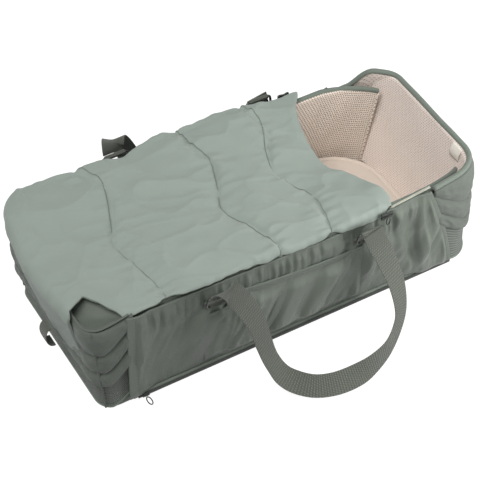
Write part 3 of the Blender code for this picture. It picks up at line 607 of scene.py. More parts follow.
def makeHeadLining():
    rows, columns = 26, 44
    grid = []
    for k in range(rows + 1):
        share = k / rows
        z = mixOf(floorTop + 0.016, headEnd["seams"][-1][0] + 0.0005, share)
        half = mixOf(0.136, 0.150, ease(0.2, 1.0, share))
        row = []
        for i in range(columns + 1):
            across = 2 * i / columns - 1
            y = across * half * (1 - 0.05 * share)
            if y > 0:
                y *= 1 - 0.11 * share
            curl = 0.024 * max(abs(across) - 0.62, 0) ** 2 / 0.144 * (1 - share * 0.35)
            x = mixOf(0.3055, 0.3575, share ** 0.92) - curl
            x += 0.0014 * rough(y, z, 0.3, 0.05)
            row.append((x, y, z))
        grid.append(row)
    lining = clothObject("head_mesh_slope", grid, 0.284, 0.2, [fineMesh])
    thicken(lining, 0.004, 1.0, 0)
    put(lining, "head_end", "head_lining")
    # the same mesh faces the inside of each wing
    for name, side in nearAndFar.items():
        rows = [endRow(headEnd, mixOf(0.120, 0.2105, k / 14), mixOf(0.130, 0.1975, k / 14), 0.0054)[0]
                for k in range(15)]
        kept = [i for i, (x, y, z, wing) in enumerate(rows[-1]) if y * side > 0.105 and wing < 0.97]
        grid = [[row[i][:3] for i in kept] for row in rows]
        facing = clothObject(f"head_wing_mesh_{name}", grid, 0.06, 0.07, [fineMesh])
        thicken(facing, 0.0008, side, 0)
        put(facing, "head_end")


def makeHeadTrim():
    # a wide binding rolls over the head wall's top edge
    row, _ = endRow(headEnd, *headEnd["seams"][-1], inset=0.0030)
    line = [Vector((x, y, z + 0.002 + 0.001 * rough(x, y, 0, 0.06))) for x, y, z, _ in row]
    roll = circle(endSizes["binding"], 18, 0.86)
    binding = sweep("head_binding_roll", line, roll, [bindingFabric])
    put(binding, "head_end", "head_binding")
    rows = []
    for k in range(9):
        t = k / 8
        rows.append([(0.3545 - 0.007 * t - 0.003 * sin(t * pi), -0.112 + 0.026 * i / 8, 0.2135 - 0.024 * t)
                     for i in range(9)])
    tag = clothObject("blank_tag", rows, 0.026, 0.026, [labelTape])
    thicken(tag, 0.0008, 0.0, 0)
    put(tag, "head_end", "care_tag")


def makeEnds():
    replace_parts(makeChannels("foot_wall_padding", footEnd, "cot"), "foot_wall")
    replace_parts(makeBand("foot_rib_knit", footEnd, "cot"), "foot_rib_band")
    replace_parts(makeChannels("head_wall_padding", headEnd, "head_end"), "head_wall")
    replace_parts(makeBand("head_rib_knit", headEnd, "head_end"), "head_rib_band")
    # corner piping runs down where the foot wall turns into its wings
    for name, side in nearAndFar.items():
        line = []
        for k in range(30):
            z = mixOf(0.006, 0.1965, k / 29)
            turnX = mixOf(footEnd["turnLow"], footEnd["turnHigh"], z / 0.2)
            line.append((turnX + 0.0068, (wingIn + endSizes["wing"] - 0.0072) * side, z))
        piping = sweep(f"foot_corner_piping_{name}", line, circle(0.0019, 8), [seamShade],
                       upward=Vector((1, 0, 0)))
        put(piping, "cot")
    makeHeadLining()
    makeHeadTrim()


makeSideWalls()
makeEnds()
print("stage 3: walls made")


# base, board and mattress

padSizes = {"footX": -0.322, "headX": 0.306, "half": 0.134, "corner": 0.100, "thick": 0.040, "crown": 0.005,
            "seamInset": 0.010}


def roundedPlan(lowX, highX, half, corner, steps=14):
    points = []
    for x, y, quarter in ((highX, half, 0), (lowX, half, 1), (lowX, -half, 2), (highX, -half, 3)):
        centreX = x - corner if x == highX else x + corner
        centreY = y - corner if y > 0 else y + corner
        for i in range(steps + 1):
            a = (quarter + i / steps) * pi / 2
            points.append((centreX + corner * cos(a), centreY + corner * sin(a)))
        # points along the straight, so that the weave and the crown stay even
        if quarter in (0, 2):
            goal = lowX + corner if quarter == 0 else highX - corner
            start = points[-1][0]
            points += [(mixOf(start, goal, i / 16), points[-1][1]) for i in range(1, 16)]
    return points


def planPad(name, levels, plan, mats):
    # levels are (inset, z) pairs from the bottom's middle round to the top's middle
    lowX, highX, half, corner = plan
    rows = []
    for inset, z in levels:
        row = []
        for x, y in roundedPlan(lowX + inset, highX - inset, half - inset, max(corner - inset, 0.004)):
            row.append((x, y, z + 0.0007 * rough(x, y, 0, 0.05) * (1 if z > levels[0][1] + 0.02 else 0)))
        rows.append(row)
    piece = clothObject(name, rows, 2.0, 0.3, mats, closed=True)
    cloth = piece.data.uv_layers["cloth"]
    for loop in piece.data.loops:
        place = piece.data.vertices[loop.vertex_index].co
        cloth.data[loop.index].uv = (place.x, place.y + place.z)
    closeEnds(piece, len(rows[0]))
    piece.data.shade_smooth()
    return piece


def makeBase():
    p = padSizes
    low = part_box("mattress")[0].z
    top = low + p["thick"]
    levels = [(0.02, low), (0.004, low)]
    for i in range(7):
        a = i / 6 * pi / 2
        levels.append((0.003 * (1 - sin(a)) * 1.3, low + 0.004 + 0.012 * (1 - cos(a))))
    levels.append((0.0, top - 0.014))
    for i in range(1, 9):
        a = i / 8 * pi / 2
        levels.append((0.010 * (1 - cos(a)), top - 0.012 + 0.012 * sin(a)))
    levels += [(p["seamInset"] + 0.0012, top - 0.0012), (p["seamInset"] + 0.0022, top - 0.0022),
               (p["seamInset"] + 0.0034, top - 0.0010)]
    for inset in (0.017, 0.024, 0.034, 0.048, 0.066, 0.086, 0.106, 0.126):
        levels.append((inset, top + p["crown"] * sqrt(1 - (1 - inset / 0.13) ** 2)))
    mattress = planPad("mattress_pad", levels, (p["footX"], p["headX"], p["half"], p["corner"]), [jersey])
    put(mattress, "cot", "mattress")
    # base: padded floor panel with an eased edge
    e = endSizes
    panel = [(0.10, 0.0006), (0.006, 0.0002), (0.0018, 0.0014), (0.0, 0.004), (0.0, 0.0075), (0.002, 0.0095),
             (0.006, 0.010), (0.10, 0.010)]
    base = planPad("base_pad", panel, (e["footX"], e["headX"], 0.150, 0.026), [bindingFabric])
    put(base, "cot", "base_panel")
    for name, side in nearAndFar.items():
        line = [(mixOf(footEnd["tip"] - 0.004, headEnd["tip"] + 0.004, i / 40), side * 0.1545, 0.0066)
                for i in range(41)]
        roll = circle(0.0052, 16, 0.0062 / 0.0052)
        edge = sweep(f"floor_edge_roll_{name}", line, roll, [bindingFabric])
        put(edge, "cot")
    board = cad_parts["base_board"]
    board.data.materials.clear()
    board.data.materials.append(boardWood)


# gathered side skirts

skirtSizes = {"footX": -0.312, "headTop": 0.258, "headLow": 0.316, "low": 0.0125, "top": 0.190,
              "thick": 0.0022, "hem": 0.014, "slant": 0.40, "drape": 0.0080, "gather": 0.0060,
              "headFold": 0.0070, "tabFold": 0.0062,
              "farDrop": 0.024, "tabs": (-0.150, 0.128)}


def skirtFace(x):
    wing = endSizes["wing"] + gap
    foot = 1 - ease(footEnd["tip"] + gap, footEnd["tip"] + 0.042, x)
    head = ease(headEnd["tip"] - 0.042, headEnd["tip"] - 0.010, x)
    return wallSizes["outer"] + gap + wing * max(foot, head)


skirtTop = [(-0.312, 0.212), (-0.290, 0.205), (-0.250, 0.199), (-0.100, 0.195), (0.110, 0.190),
            (0.165, 0.1955), (0.210, 0.200), (0.258, 0.207)]


def fold(value):  # turns noise into rounded folds with narrower valleys
    return (0.5 + 0.5 * sin(pi * min(max(value * 1.7, -0.5), 0.5))) ** 0.8


def drapes(x, z, side, seed=0.0):
    # how far the loose fabric stands out: slanted drapes, folds that run out from the ring tabs
    s = skirtSizes
    slanted = x - s["slant"] * (z - 0.1)
    wander = 0.016 * rough(x, z, seed + 1.5, 0.11)
    drape = fold(rough(slanted + wander, z * 0.10, seed + side, 0.036)) * s["drape"]
    drape += 0.38 * s["drape"] * fold(rough(slanted * 1.1 - wander, z * 0.16, seed + side + 5.0, 0.023))
    pulled = 0.0
    for tab in s["tabs"]:
        across, down = x - tab, 0.168 - z
        away = sqrt(across * across + down * down)
        angle = atan2(across, max(down, 0.004))
        near = ease(0.010, 0.034, away) * (1 - ease(0.070, 0.140, away))
        pulled += near * (0.5 + 0.5 * cos(angle * 8 + 1.3 * side + 3 * tab)) ** 1.6 * s["tabFold"]
        drape *= 1 - 0.75 * (1 - ease(0.02, 0.05, away))
    return drape + pulled


def sewLine(name, line, side, radius):  # threads that lie just outside a line on the cloth
    line = [Vector(p) + Vector((0, side * 0.0002, 0)) for p in line]
    return put(stitches(name, line, 0.0026, 0.0016, radius), "cot")


def makeSkirts():
    s = skirtSizes
    columns, rows = 360, 48
    hemX = s["footX"] + s["hem"]
    for name, side in nearAndFar.items():
        grid = []
        for k in range(rows + 1):
            height = k / rows
            row = []
            for i in range(columns + 1):
                share = i / columns
                head = mixOf(s["headLow"], s["headTop"], height ** 1.4)
                x = mixOf(s["footX"], head, share)
                lowered = (s["farDrop"] if side > 0 else 0) * ease(0.0, 0.2, x)
                z = mixOf(s["low"], alongPoints(skirtTop, x) - lowered, height)
                calm = ease(hemX, hemX + 0.010, x) * (1 - ease(head - 0.016, head - 0.007, x))
                gathered = ease(0.62, 0.93, height)
                gathered += 0.30 * (1 - ease(0.05, 0.26, height)) * ease(0.0, 0.06, height)
                amount = drapes(x, z, side) * (0.06 + 0.94 * sin(pi * min(height * 1.1, 1)))
                amount += gathered * s["gather"] * fold(rough(x, z * 0.12, side + 2.0, 0.0105))
                headward = ease(0.155, 0.200, x) * (0.25 + 0.75 * ease(0.0, 0.3, height)) * s["headFold"]
                amount += headward * fold(rough(x + 0.10 * (z - 0.1), z * 0.10, side + 9.0, 0.0190))
                amount *= calm * (1 - 0.88 * ease(0.88, 0.99, height))
                hemStep = 0.0006 * (1 - ease(hemX - 0.001, hemX + 0.0005, x))
                lowStep = 0.0007 * (1 - ease(0.048, 0.060, height))
                y = skirtFace(x) + s["thick"] + 0.0008 + amount + hemStep + lowStep
                row.append((x, y * side, z))
            grid.append(row)
        skirt = clothObject(f"side_skirt_{name}", grid, s["headLow"] - s["footX"], s["top"] - s["low"],
                            [shadedSkirtFabric])
        thicken(skirt, s["thick"], side, 0)
        put(skirt, "cot", f"skirt_{name}")
        sewn = [sewLine(f"skirt_{label}_stitching_{name}", [row[column] for row in grid], side, 0.00045)
                for label, column in (("foot", round(columns * 0.0265)), ("head", columns - 3))]


pocketSizes = {"footX": -0.172, "headX": 0.128, "low": 0.024, "face": 0.1575, "thick": 0.0018,
               "hem": [(-0.172, 0.139), (-0.150, 0.139), (-0.128, 0.142), (-0.112, 0.156), (-0.100, 0.1635),
                       (-0.088, 0.162), (-0.016, 0.154), (0.061, 0.148), (0.128, 0.145)]}


def makePockets():
    s = pocketSizes
    columns, rows = 230, 44
    for name, side in nearAndFar.items():
        grid = []
        for k in range(rows + 1):
            height = k / rows
            row = []
            for i in range(columns + 1):
                x = mixOf(s["footX"], s["headX"], i / columns)
                high = alongPoints(s["hem"], x)
                z = mixOf(s["low"], high, height)
                edge = min(i, columns - i) / columns
                loose = ease(0.0, 0.05, edge) * ease(0.0, 0.10, height)
                low = 1 - ease(0.02, 0.30, height)
                amount = drapes(x, z, side, 21.0) * (1 - 0.9 * ease(0.72, 0.92, height))
                amount += (0.0015 * low * fold(rough(x, z * 0.15, side + 30.0, 0.0085))
                           + 0.0012 * sin(pi * height))
                hemStep = 0.0012 * ease(0.915, 0.930, height) + 0.0016 * ease(0.80, 0.93, height)
                y = s["face"] + s["thick"] + amount * (0.25 + 0.75 * loose) + hemStep
                row.append((x, y * side, z))
            grid.append(row)
        pocket = clothObject(f"side_pocket_{name}", grid, 0.3, 0.13, [shadedSkirtFabric])
        thicken(pocket, s["thick"], side, 0)
        put(pocket, "cot", f"pocket_{name}")
        sewn = [sewLine(f"pocket_{label}_stitching_{name}", grid[rowIndex], side, 0.0004)
                for label, rowIndex in (("hem", round(rows * 0.925)), ("low", 1))]


makeBase()
makeSkirts()
makePockets()
print("stage 4: mattress, skirts and pockets made")


# the quilted cover

coverSizes = {"topZ": 0.221, "thick": 0.0058, "half": 0.1460, "edgeR": 0.0120, "frontX": 0.182, "sag": 0.030,
              "puff": 0.0060, "flapX": -0.402, "flapLow": 0.050, "lean": 0.038, "flapHalf": 0.124,
              "notchHead": -0.314, "notchApex": -0.352, "groove": 0.0042, "grooveWide": 0.0030, "bow": 0.015,
              "lift": 0.0190, "farRound": 0.044, "middleX": -0.045}
# seams across the cover as (y, x) pairs
coverSeams = {
    "foot": [(-0.201, -0.252), (-0.171, -0.243), (-0.129, -0.234), (-0.059, -0.249), (-0.022, -0.258),
             (-0.007, -0.254), (0.082, -0.215), (0.117, -0.226), (0.149, -0.243), (0.20, -0.255)],
    "middle": [(-0.218, -0.056), (-0.158, -0.031), (-0.121, -0.029), (-0.065, -0.052), (-0.030, -0.068),
               (0.008, -0.051), (0.057, -0.033), (0.093, -0.044), (0.128, -0.047), (0.20, -0.062)],
    "front": [(-0.20, 0.060), (-0.167, 0.066), (-0.139, 0.070), (-0.093, 0.080), (-0.061, 0.084),
              (-0.033, 0.068), (0.009, 0.056), (0.037, 0.065), (0.086, 0.091), (0.110, 0.085),
              (0.151, 0.073), (0.20, 0.060)]}
frontLine = [(-0.20, 0.184), (-0.155, 0.1845), (-0.140, 0.190), (-0.093, 0.181), (-0.049, 0.167),
             (-0.012, 0.147), (0.037, 0.146), (0.099, 0.163), (0.145, 0.187), (0.160, 0.192), (0.20, 0.194)]
lipLine = [(-0.316, 0.2145), (-0.302, 0.2125), (-0.265, 0.2095), (-0.230, 0.205), (-0.194, 0.2020),
           (-0.103, 0.2010), (-0.015, 0.1950), (0.071, 0.1905), (0.152, 0.1885), (0.166, 0.192),
           (0.182, 0.2060), (0.19, 0.2085)]


def seamAt(which, y):
    return alongPoints(coverSeams[which], y)


def coverTop(x, y):
    # height of the cover's upper face over a place
    s = coverSizes
    across = min(abs(y) / s["half"], 1.0)
    flat = y if abs(y) < s["half"] else s["half"] * (1 if y > 0 else -1)
    gaps = [x - seamAt(which, flat) for which in coverSeams]
    near = min(gaps, key=abs)
    groove = s["groove"] * exp(-abs(near) / s["grooveWide"])
    away = 1 - exp(-abs(near) / 0.022)
    crown = s["puff"] * (1 - across ** 2)
    sag = s["sag"] * ease(-0.03, s["frontX"], x) * max(1 - (y / 0.145) ** 2, 0.0) ** 1.6
    lift = s["lift"] * (1 - ease(0.06, 0.17, x)) * ease(0.0, s["half"], y)
    lift *= 1 - 0.4 * bump(x + 0.153, 0.035)
    body = s["topZ"] + lift - 2 * s["puff"] + (s["puff"] * away + crown) * (1 - across ** 6) - sag
    # drawn-up pleats beside the seams, soft dents over the panels
    pleat = (0.0050 + 0.0036 * across ** 4) * rough(x * 0.30, y, 1.0, 0.013) * bump(near, 0.028)
    pleat *= 1 - bump(near, 0.002) * 0.5
    dent = 0.0034 * rough(x, y * 0.8, 2.0, 0.085) + 0.0030 * rough(x * 0.8 + y * 0.5, y - x * 0.3, 4.0, 0.034)
    ridge = 0.0046 * (1 - abs(rough(x * 0.6 + y * 0.35, y * 0.5 - x * 0.2, 9.0, 0.050))) ** 7
    ridge += 0.0022 * (1 - abs(rough(x * 0.35 - y * 0.2, y * 0.9 + x * 0.3, 17.0, 0.045))) ** 10
    return body - groove + pleat + dent + ridge - 0.0010


def coverPlace(x, s_, side):
    # a place on the cover: x along it, s_ the way out from its middle line
    s = coverSizes
    arc = s["edgeR"] * pi / 2
    wide = 0.25 * (endSizes["wing"] + gap) * (1 - ease(s["notchHead"], -0.213, x))
    if side > 0:
        wide += 0.006 * (1 - ease(0.06, 0.17, x)) * (1 - bump(x + 0.153, 0.035))
    edgePull = 0.0
    for which in coverSeams:
        edgePull += 0.0050 * bump(x - seamAt(which, side * s["half"]), 0.010)
    if s_ <= s["half"]:
        y, drop = s_ * (s["half"] + wide) / s["half"], 0.0
    elif s_ <= s["half"] + arc:
        a = (s_ - s["half"]) / s["edgeR"]
        y, drop = s["half"] + wide + s["edgeR"] * sin(a), s["edgeR"] * (1 - cos(a))
    else:
        y, drop = s["half"] + wide + s["edgeR"], s["edgeR"] + s_ - s["half"] - arc
    y -= edgePull * ease(s["half"] - 0.02, s["half"] + arc, s_)
    pucker = 0.0022 * rough(x, s_ * 0.3, side * 3.0, 0.011) * ease(s["half"] * 0.9, s["half"] + arc, s_)
    return Vector((x, side * (y + pucker), coverTop(x, y * side) - drop))


def lipReach(x, side):
    s = coverSizes
    drop = max(coverTop(x, side * s["half"]) - alongPoints(lipLine, x), 0.004)
    if drop < s["edgeR"]:
        return s["half"] + s["edgeR"] * acos(1 - drop / s["edgeR"])
    return s["half"] + s["edgeR"] * pi / 2 + drop - s["edgeR"]


def makeCoverTop():
    # the two panels from the front edge back to the middle seam
    s = coverSizes
    rows, columns = 62, 132
    grid = []
    for k in range(rows + 1):
        row = []
        for i in range(columns + 1):
            share = 2 * i / columns - 1
            side = 1 if share >= 0 else -1
            yFlat = share * (s["half"] + s["edgeR"])
            x = mixOf(seamAt("middle", yFlat), alongPoints(frontLine, yFlat), k / rows)
            reach = lipReach(x, side)
            row.append(coverPlace(x, abs(share) * reach, side))
        grid.append(row)
    return grid


# how far out from the middle line the near edge of the notch lies, by place along the cover
notchLine = [(-0.352, 0.090), (-0.345, 0.100), (-0.3375, 0.112), (-0.3295, 0.125), (-0.322, 0.138),
             (-0.314, 0.1500)]


def flapPlace(x, edge, y, a, fall, down, side, turn):
    # a place on the flap below its bend, a being the angle turned so far
    s = coverSizes
    bow = s["bow"] * (y / s["flapHalf"]) ** 2
    wave = 0.0018 * rough(0.3, y * side, fall * 0.5, 0.045) + 0.0010 * rough(1.3, y * side * 1.4, fall, 0.02)
    x = x - turn * sin(a) + (bow - wave) * sin(a) + s["lean"] * (fall / down) ** 1.2
    return Vector((x, y * side, max(edge - turn * (1 - cos(a)) - fall, s["flapLow"])))


def coverFootPlace(run, share, turn, down):
    s = coverSizes
    side = 1 if share >= 0 else -1
    topRun = s["middleX"] - s["flapX"]
    flat = topRun - turn
    start = seamAt("middle", share * (s["half"] + s["edgeR"]))
    xLike = s["middleX"] - min(run, topRun)
    turnX = s["flapX"] + turn
    if side > 0:
        reach = lipReach(max(xLike, s["notchHead"]), side)
    elif xLike >= s["notchHead"]:
        reach = lipReach(xLike, side)
    elif xLike >= s["notchApex"]:
        reach = alongPoints(notchLine[:-1] + [(s["notchHead"], lipReach(s["notchHead"], side))], xLike)
    else:
        fallen = max(run - flat - turn * pi / 2, 0.0) / down
        t = min((s["notchApex"] - xLike) / (s["notchApex"] - s["flapX"]), 1.0)
        reach = mixOf(0.090, s["flapHalf"] - 0.012, t ** 0.8) + 0.012 * fallen
    way = abs(share) * reach
    round_ = s["farRound"]
    if side > 0 and way > s["half"] - round_ and run > flat - round_:
        # the closed far corner: the sheet turns down all the way round it
        outX, outY = run - flat + round_, way - s["half"] + round_
        fullX, fullY = turn * pi / 2 + down + round_, reach - s["half"] + round_
        t = max(outX / fullX, outY / fullY)
        angle = atan2(outY / fullY, outX / fullX)
        radial = t * (fullX * cos(angle) ** 2 + fullY * sin(angle) ** 2)
        bend = mixOf(turn, s["edgeR"], sin(angle) ** 2)
        past = max(radial - round_, 0.0)
        a = min(past / bend, pi / 2)
        level = min(radial, round_) + bend * sin(a)
        fall = max(past - bend * pi / 2, 0.0)
        corner = coverPlace(turnX + round_, s["half"] - round_, side)
        lean = s["bow"] * sin(a) + s["lean"] * (fall / down) ** 1.2
        x = corner.x - cos(angle) * level + lean * cos(angle)
        y = corner.y + sin(angle) * level
        top = coverTop(max(x, turnX), min(y, s["half"]))
        return Vector((x, y, max(top - bend * (1 - cos(a)) - fall, s["flapLow"])))
    if run <= flat:
        place = coverPlace(mixOf(start, turnX, run / flat), way, side)
        place.z -= 0.0022 * (1 - ease(-0.006, 0.0, run))
        return place
    edge = coverPlace(turnX, min(way, s["half"]), side)
    a = min((run - flat) / turn, pi / 2)
    fall = max(run - flat - turn * pi / 2, 0.0)
    return flapPlace(turnX, edge.z, abs(edge.y), a, fall, down, side, turn)


# the bodies on both sides of a fold, and where along the cover it starts and ends
footFold = ("cot", "cover_middle", -0.268, -0.225)
frontFold = ("cover_middle", "cover_front_panel", -0.058, -0.018)


def bendOver(piece):
    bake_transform(piece)


def makeCover():
    s = coverSizes
    front = clothObject("cover_front_panels", makeCoverTop(), 0.38, 0.25, [coverFabric, liningShade])
    front.data.flip_normals()
    thicken(front, s["thick"], -1.0, 1, inside=1)
    bendOver(front)
    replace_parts(front, "cover_front")
    turn = s["edgeR"] * 1.7
    down = s["topZ"] - s["flapLow"] - turn
    topRun = s["middleX"] - s["flapX"]
    total = topRun - turn + turn * pi / 2 + down
    rows, columns = 150, 132
    tuck = 0.006
    grid = []
    for k in range(rows + 1):
        # the first rows tuck under the front panels' edge
        run = max(total * (1 - k / rows) - tuck, -tuck)
        grid.append([coverFootPlace(run, 2 * i / columns - 1, turn, down) for i in range(columns + 1)])
    foot = clothObject("cover_foot_panels", grid, 0.38, total, [coverFabric, liningShade])
    foot.data.flip_normals()
    thicken(foot, s["thick"], -1.0, 1, inside=1)
    bendOver(foot)
    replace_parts(foot, "cover_mid", "cover_foot")
    # the quilting thread lies in each seam
    for name, where in (("foot", footFold), ("middle", footFold), ("front", frontFold)):
        line = []
        for i in range(141):
            side = 1 if i > 70 else -1
            share = abs(i - 70) / 70
            x = seamAt(name, side * share * s["half"])
            place = coverPlace(x, share * lipReach(x, side), side)
            line.append(place + Vector((0, side * 0.0006 * share ** 6, 0.0006)))
        thread = sweep(f"quilting_{name}", line, circle(0.0007, 6), [threadColour])
        bendOver(thread)
    # flat corner panels that close the wall below the notches
    outer = [(-0.306, 0.1585, 0.2150), (-0.322, 0.1590, 0.2115), (-0.340, 0.1575, 0.2060),
             (-0.356, 0.1545, 0.2015), (-0.3665, 0.1480, 0.1990), (-0.3735, 0.1380, 0.1980),
             (-0.3760, 0.1250, 0.1975), (-0.3765, 0.1100, 0.1975), (-0.3765, 0.0850, 0.1975)]
    inner = [(-0.300, 0.1450, 0.2060), (-0.308, 0.1280, 0.2065), (-0.318, 0.1080, 0.2070),
             (-0.330, 0.0920, 0.2070), (-0.342, 0.0820, 0.2065), (-0.352, 0.0780, 0.2050),
             (-0.362, 0.0740, 0.2030), (-0.369, 0.0700, 0.2010), (-0.372, 0.0650, 0.1980)]
    for name, side in nearAndFar.items():
        outerLine = curveThrough([(x, y * side, z) for x, y, z in outer], 4)
        innerLine = curveThrough([(x, y * side, z) for x, y, z in inner], 4)
        grid = []
        for k in range(9):
            t = k / 8
            row = []
            for a, b in zip(outerLine, innerLine):
                sunk = -0.0130 * sin(pi * t) + 0.0016 * rough(a.x, a.y, t * 0.1, 0.02)
                row.append(a.lerp(b, t) + Vector((0, 0, sunk)))
            grid.append(row)
        # the corner panels take the darker skirt fabric: painted shade for the shadow under the cover's lip
        # and flap
        panel = clothObject(f"corner_panel_{name}", grid, 0.16, 0.06, [shadedSkirtFabric])
        thicken(panel, 0.0016, 0.0, 1)
        put(panel, "cot", f"corner_gusset_{name}")
        line = [p + Vector((0, 0, 0.0004)) for p in outerLine]
        hem = sweep(f"foot_wall_hem_{name}", line, circle(0.0017, 8), [shadedShellFabric])
        put(hem, "cot")


makeCover()
print("stage 5: cover made")


# webbing handles, rings and tabs

strapSizes = {"wide": 0.0385, "thick": 0.0021, "footRing": -0.153, "headRing": 0.128, "ringY": 0.175,
              "ringZ": 0.174, "ringWide": 0.047, "ringHigh": 0.024, "wire": 0.0022, "tilt": 15.0,
              "eye": 0.0031, "tabLeg": 0.022, "tabSeat": 0.1592}
# each knot: place (x, y out, z) and the way across the webbing
nearRoute = [((-0.153, 0.1868, 0.199), (1, 0, 0)), ((-0.1530, 0.1885, 0.209), (1, 0.02, 0)),
             ((-0.1500, 0.1935, 0.2155), (1, 0.05, 0)), ((-0.142, 0.2005, 0.2120), (1, 0.12, 0.02)),
             ((-0.127, 0.2080, 0.186), (0.98, 0.22, 0.03)), ((-0.108, 0.2160, 0.140), (0.95, 0.34, 0.05)),
             ((-0.098, 0.2220, 0.095), (0.90, 0.43, 0.05)), ((-0.086, 0.2330, 0.047), (0.78, 0.60, 0.12)),
             ((-0.073, 0.2570, 0.024), (0.45, 0.80, 0.38)), ((-0.045, 0.2860, 0.017), (0.12, 0.80, 0.58)),
             ((-0.010, 0.3010, 0.0155), (0.0, 0.78, 0.62)), ((0.030, 0.3050, 0.0165), (0.0, 0.66, 0.75)),
             ((0.066, 0.3010, 0.0195), (-0.06, 0.36, 0.93)), ((0.106, 0.2860, 0.023), (-0.25, 0.06, 0.96)),
             ((0.140, 0.2620, 0.034), (-0.60, -0.20, 0.75)), ((0.157, 0.2430, 0.055), (-0.84, -0.36, 0.34)),
             ((0.158, 0.2240, 0.095), (-0.93, -0.34, 0.06)), ((0.147, 0.2060, 0.140), (-0.97, -0.20, 0.0)),
             ((0.134, 0.1920, 0.178), (-1, -0.06, 0)), ((0.128, 0.1868, 0.199), (-1, 0, 0))]


def webbing(name, middles, widths, wide, thick):
    # a woven strap with rounded selvedges along a line of middles
    count = 12
    edgeRound = 0.35
    rows = []
    travelled = 0.0
    for i, place in enumerate(middles):
        ahead = (middles[min(i + 1, len(middles) - 1)] - middles[max(i - 1, 0)]).normalized()
        across = (widths[i] - ahead * widths[i].dot(ahead)).normalized()
        up = ahead.cross(across)
        loop = []
        for face, steps in ((1, range(count + 1)), (-1, range(count, -1, -1))):
            for j in steps:
                t = j / count * 2 - 1
                edge = 1 - abs(t) ** 10 * edgeRound
                loop.append(place + across * t * wide / 2 + up * thick / 2 * edge * face)
        rows.append(loop)
        travelled += (place - middles[i - 1]).length if i else 0
    piece = clothObject(name, rows, 2 * wide, travelled, [strapWebbing], closed=True)
    closeEnds(piece, len(rows[0]))
    piece.data.set_sharp_from_angle(angle=radians(50))
    return piece


def makeRing(name, xMid, side, body):
    s = strapSizes
    tilt = radians(s["tilt"])
    up = Vector((0, side * sin(tilt), cos(tilt)))
    base = Vector((xMid, side * s["ringY"], s["ringZ"]))
    plan = roundedPlan(-s["ringWide"] / 2, s["ringWide"] / 2, s["ringHigh"] / 2, 0.0045, 6)
    path = []
    for a, b in plan:
        place = base + Vector((a, 0, 0)) + up * (b + s["ringHigh"] / 2)
        if not path or (place - path[-1]).length > 1e-6:
            path.append(place)
    flat = Vector((0, cos(tilt) * side, -sin(tilt)))
    ring = sweep(f"ring_wire_{name}", path, circle(s["wire"], 12), [coatedMetal], upward=flat, closed=True)
    put(ring, body)
    return ring


def eyeLine(centre, radius, start, end, steps=22):
    return [(centre[0] + radius * cos(radians(mixOf(start, end, i / steps))),
             centre[1] + radius * sin(radians(mixOf(start, end, i / steps)))) for i in range(steps + 1)]


def foldedTab(name, line, xMid, side, body):
    s = strapSizes
    middles = [Vector((xMid, side * y, z)) for y, z in line]
    widths = [Vector((1, 0, 0))] * len(middles)
    tab = webbing(name, middles, widths, s["wide"] - 0.001, s["thick"])
    put(tab, body)
    return tab


def makeHandles():
    s = strapSizes
    tilt = radians(s["tilt"])
    barY = s["ringY"] + s["ringHigh"] * sin(tilt)
    barZ = s["ringZ"] + s["ringHigh"] * cos(tilt)
    for name, side in nearAndFar.items():
        for end, xMid in (("foot", s["footRing"]), ("head", s["headRing"])):
            ring = makeRing(f"{name}_{end}", xMid, side, f"rings_{name}")
            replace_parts(ring, f"ring_{name}_{end}")
            line = eyeLine((s["ringY"], s["ringZ"]), s["eye"], -85, 170)
            lastY, lastZ = line[-1]
            line += [(mixOf(lastY, s["tabSeat"], t), mixOf(lastZ, s["ringZ"] - s["tabLeg"] * 0.35, t ** 0.7))
                     for t in (0.35, 0.7, 1.0)]
            line += [(s["tabSeat"], s["ringZ"] - s["tabLeg"])]
            tab = foldedTab(f"ring_tab_webbing_{name}_{end}", line, xMid, side, "cot")
            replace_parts(tab, f"ring_tab_{name}_{end}")
            line = eyeLine((barY, barZ), s["eye"], -20, 270)
            folded = foldedTab(f"strap_fold_{name}_{end}", line, xMid, side, f"rings_{name}")
            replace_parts(folded, f"handle_end_{name}_{end}")
        middles = curveThrough([(x, side * y, z) for (x, y, z), _ in nearRoute], 10)
        widths = [v.normalized() for v in curveThrough([(a, -side * b, c) for _, (a, b, c) in nearRoute], 10)]
        strap = webbing(f"handle_strap_{name}", middles, widths, s["wide"], s["thick"])
        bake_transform(strap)
        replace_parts(strap, f"handle_{name}")


# foot loop

loopSizes = {"y": -0.040, "wide": 0.024, "z": 0.100, "half": 0.022, "out": 0.014, "thick": 0.002}


def makeFootLoop():
    s = loopSizes
    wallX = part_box("foot_loop")[1].x
    middles = []
    for i in range(29):
        a = pi * i / 28
        face = mixOf(wallX, wallX + 0.005, i / 28)
        x = face - s["thick"] / 2 - (s["out"] - s["thick"] / 2) * sin(a) ** 0.8
        middles.append(Vector((x, s["y"], s["z"] + (s["half"] - s["thick"] / 2) * cos(a))))
    loop = webbing("foot_loop_webbing", middles, [Vector((0, 1, 0))] * len(middles), s["wide"], s["thick"])
    put(loop, "cot", "foot_loop")


# zips

zipSizes = {"pitch": 0.0028, "tooth": 0.0021, "headX": 0.262}


def teeth(name, path, mat):
    # interlocked coil teeth along a zip
    bm = bmesh.new()
    path = [Vector(p) for p in path]
    way, walked = 0.0, 0.0
    z = zipSizes
    for a, b in zip(path, path[1:]):
        length = (b - a).length
        ahead = (b - a).normalized()
        while way <= walked + length:
            place = a + ahead * (way - walked)
            made = bmesh.ops.create_cube(bm, size=1.0)
            bmesh.ops.scale(bm, vec=(z["tooth"] * 0.55, 0.0011, z["tooth"]), verts=made["verts"])
            bmesh.ops.translate(bm, vec=place, verts=made["verts"])
            way += z["pitch"]
        walked += length
    bmesh.ops.bevel(bm, geom=bm.edges[:], offset=0.0002, segments=1, affect="EDGES")
    piece = pieceFromWork(name, bm, mat)
    piece.data.set_sharp_from_angle(angle=radians(40))
    return piece


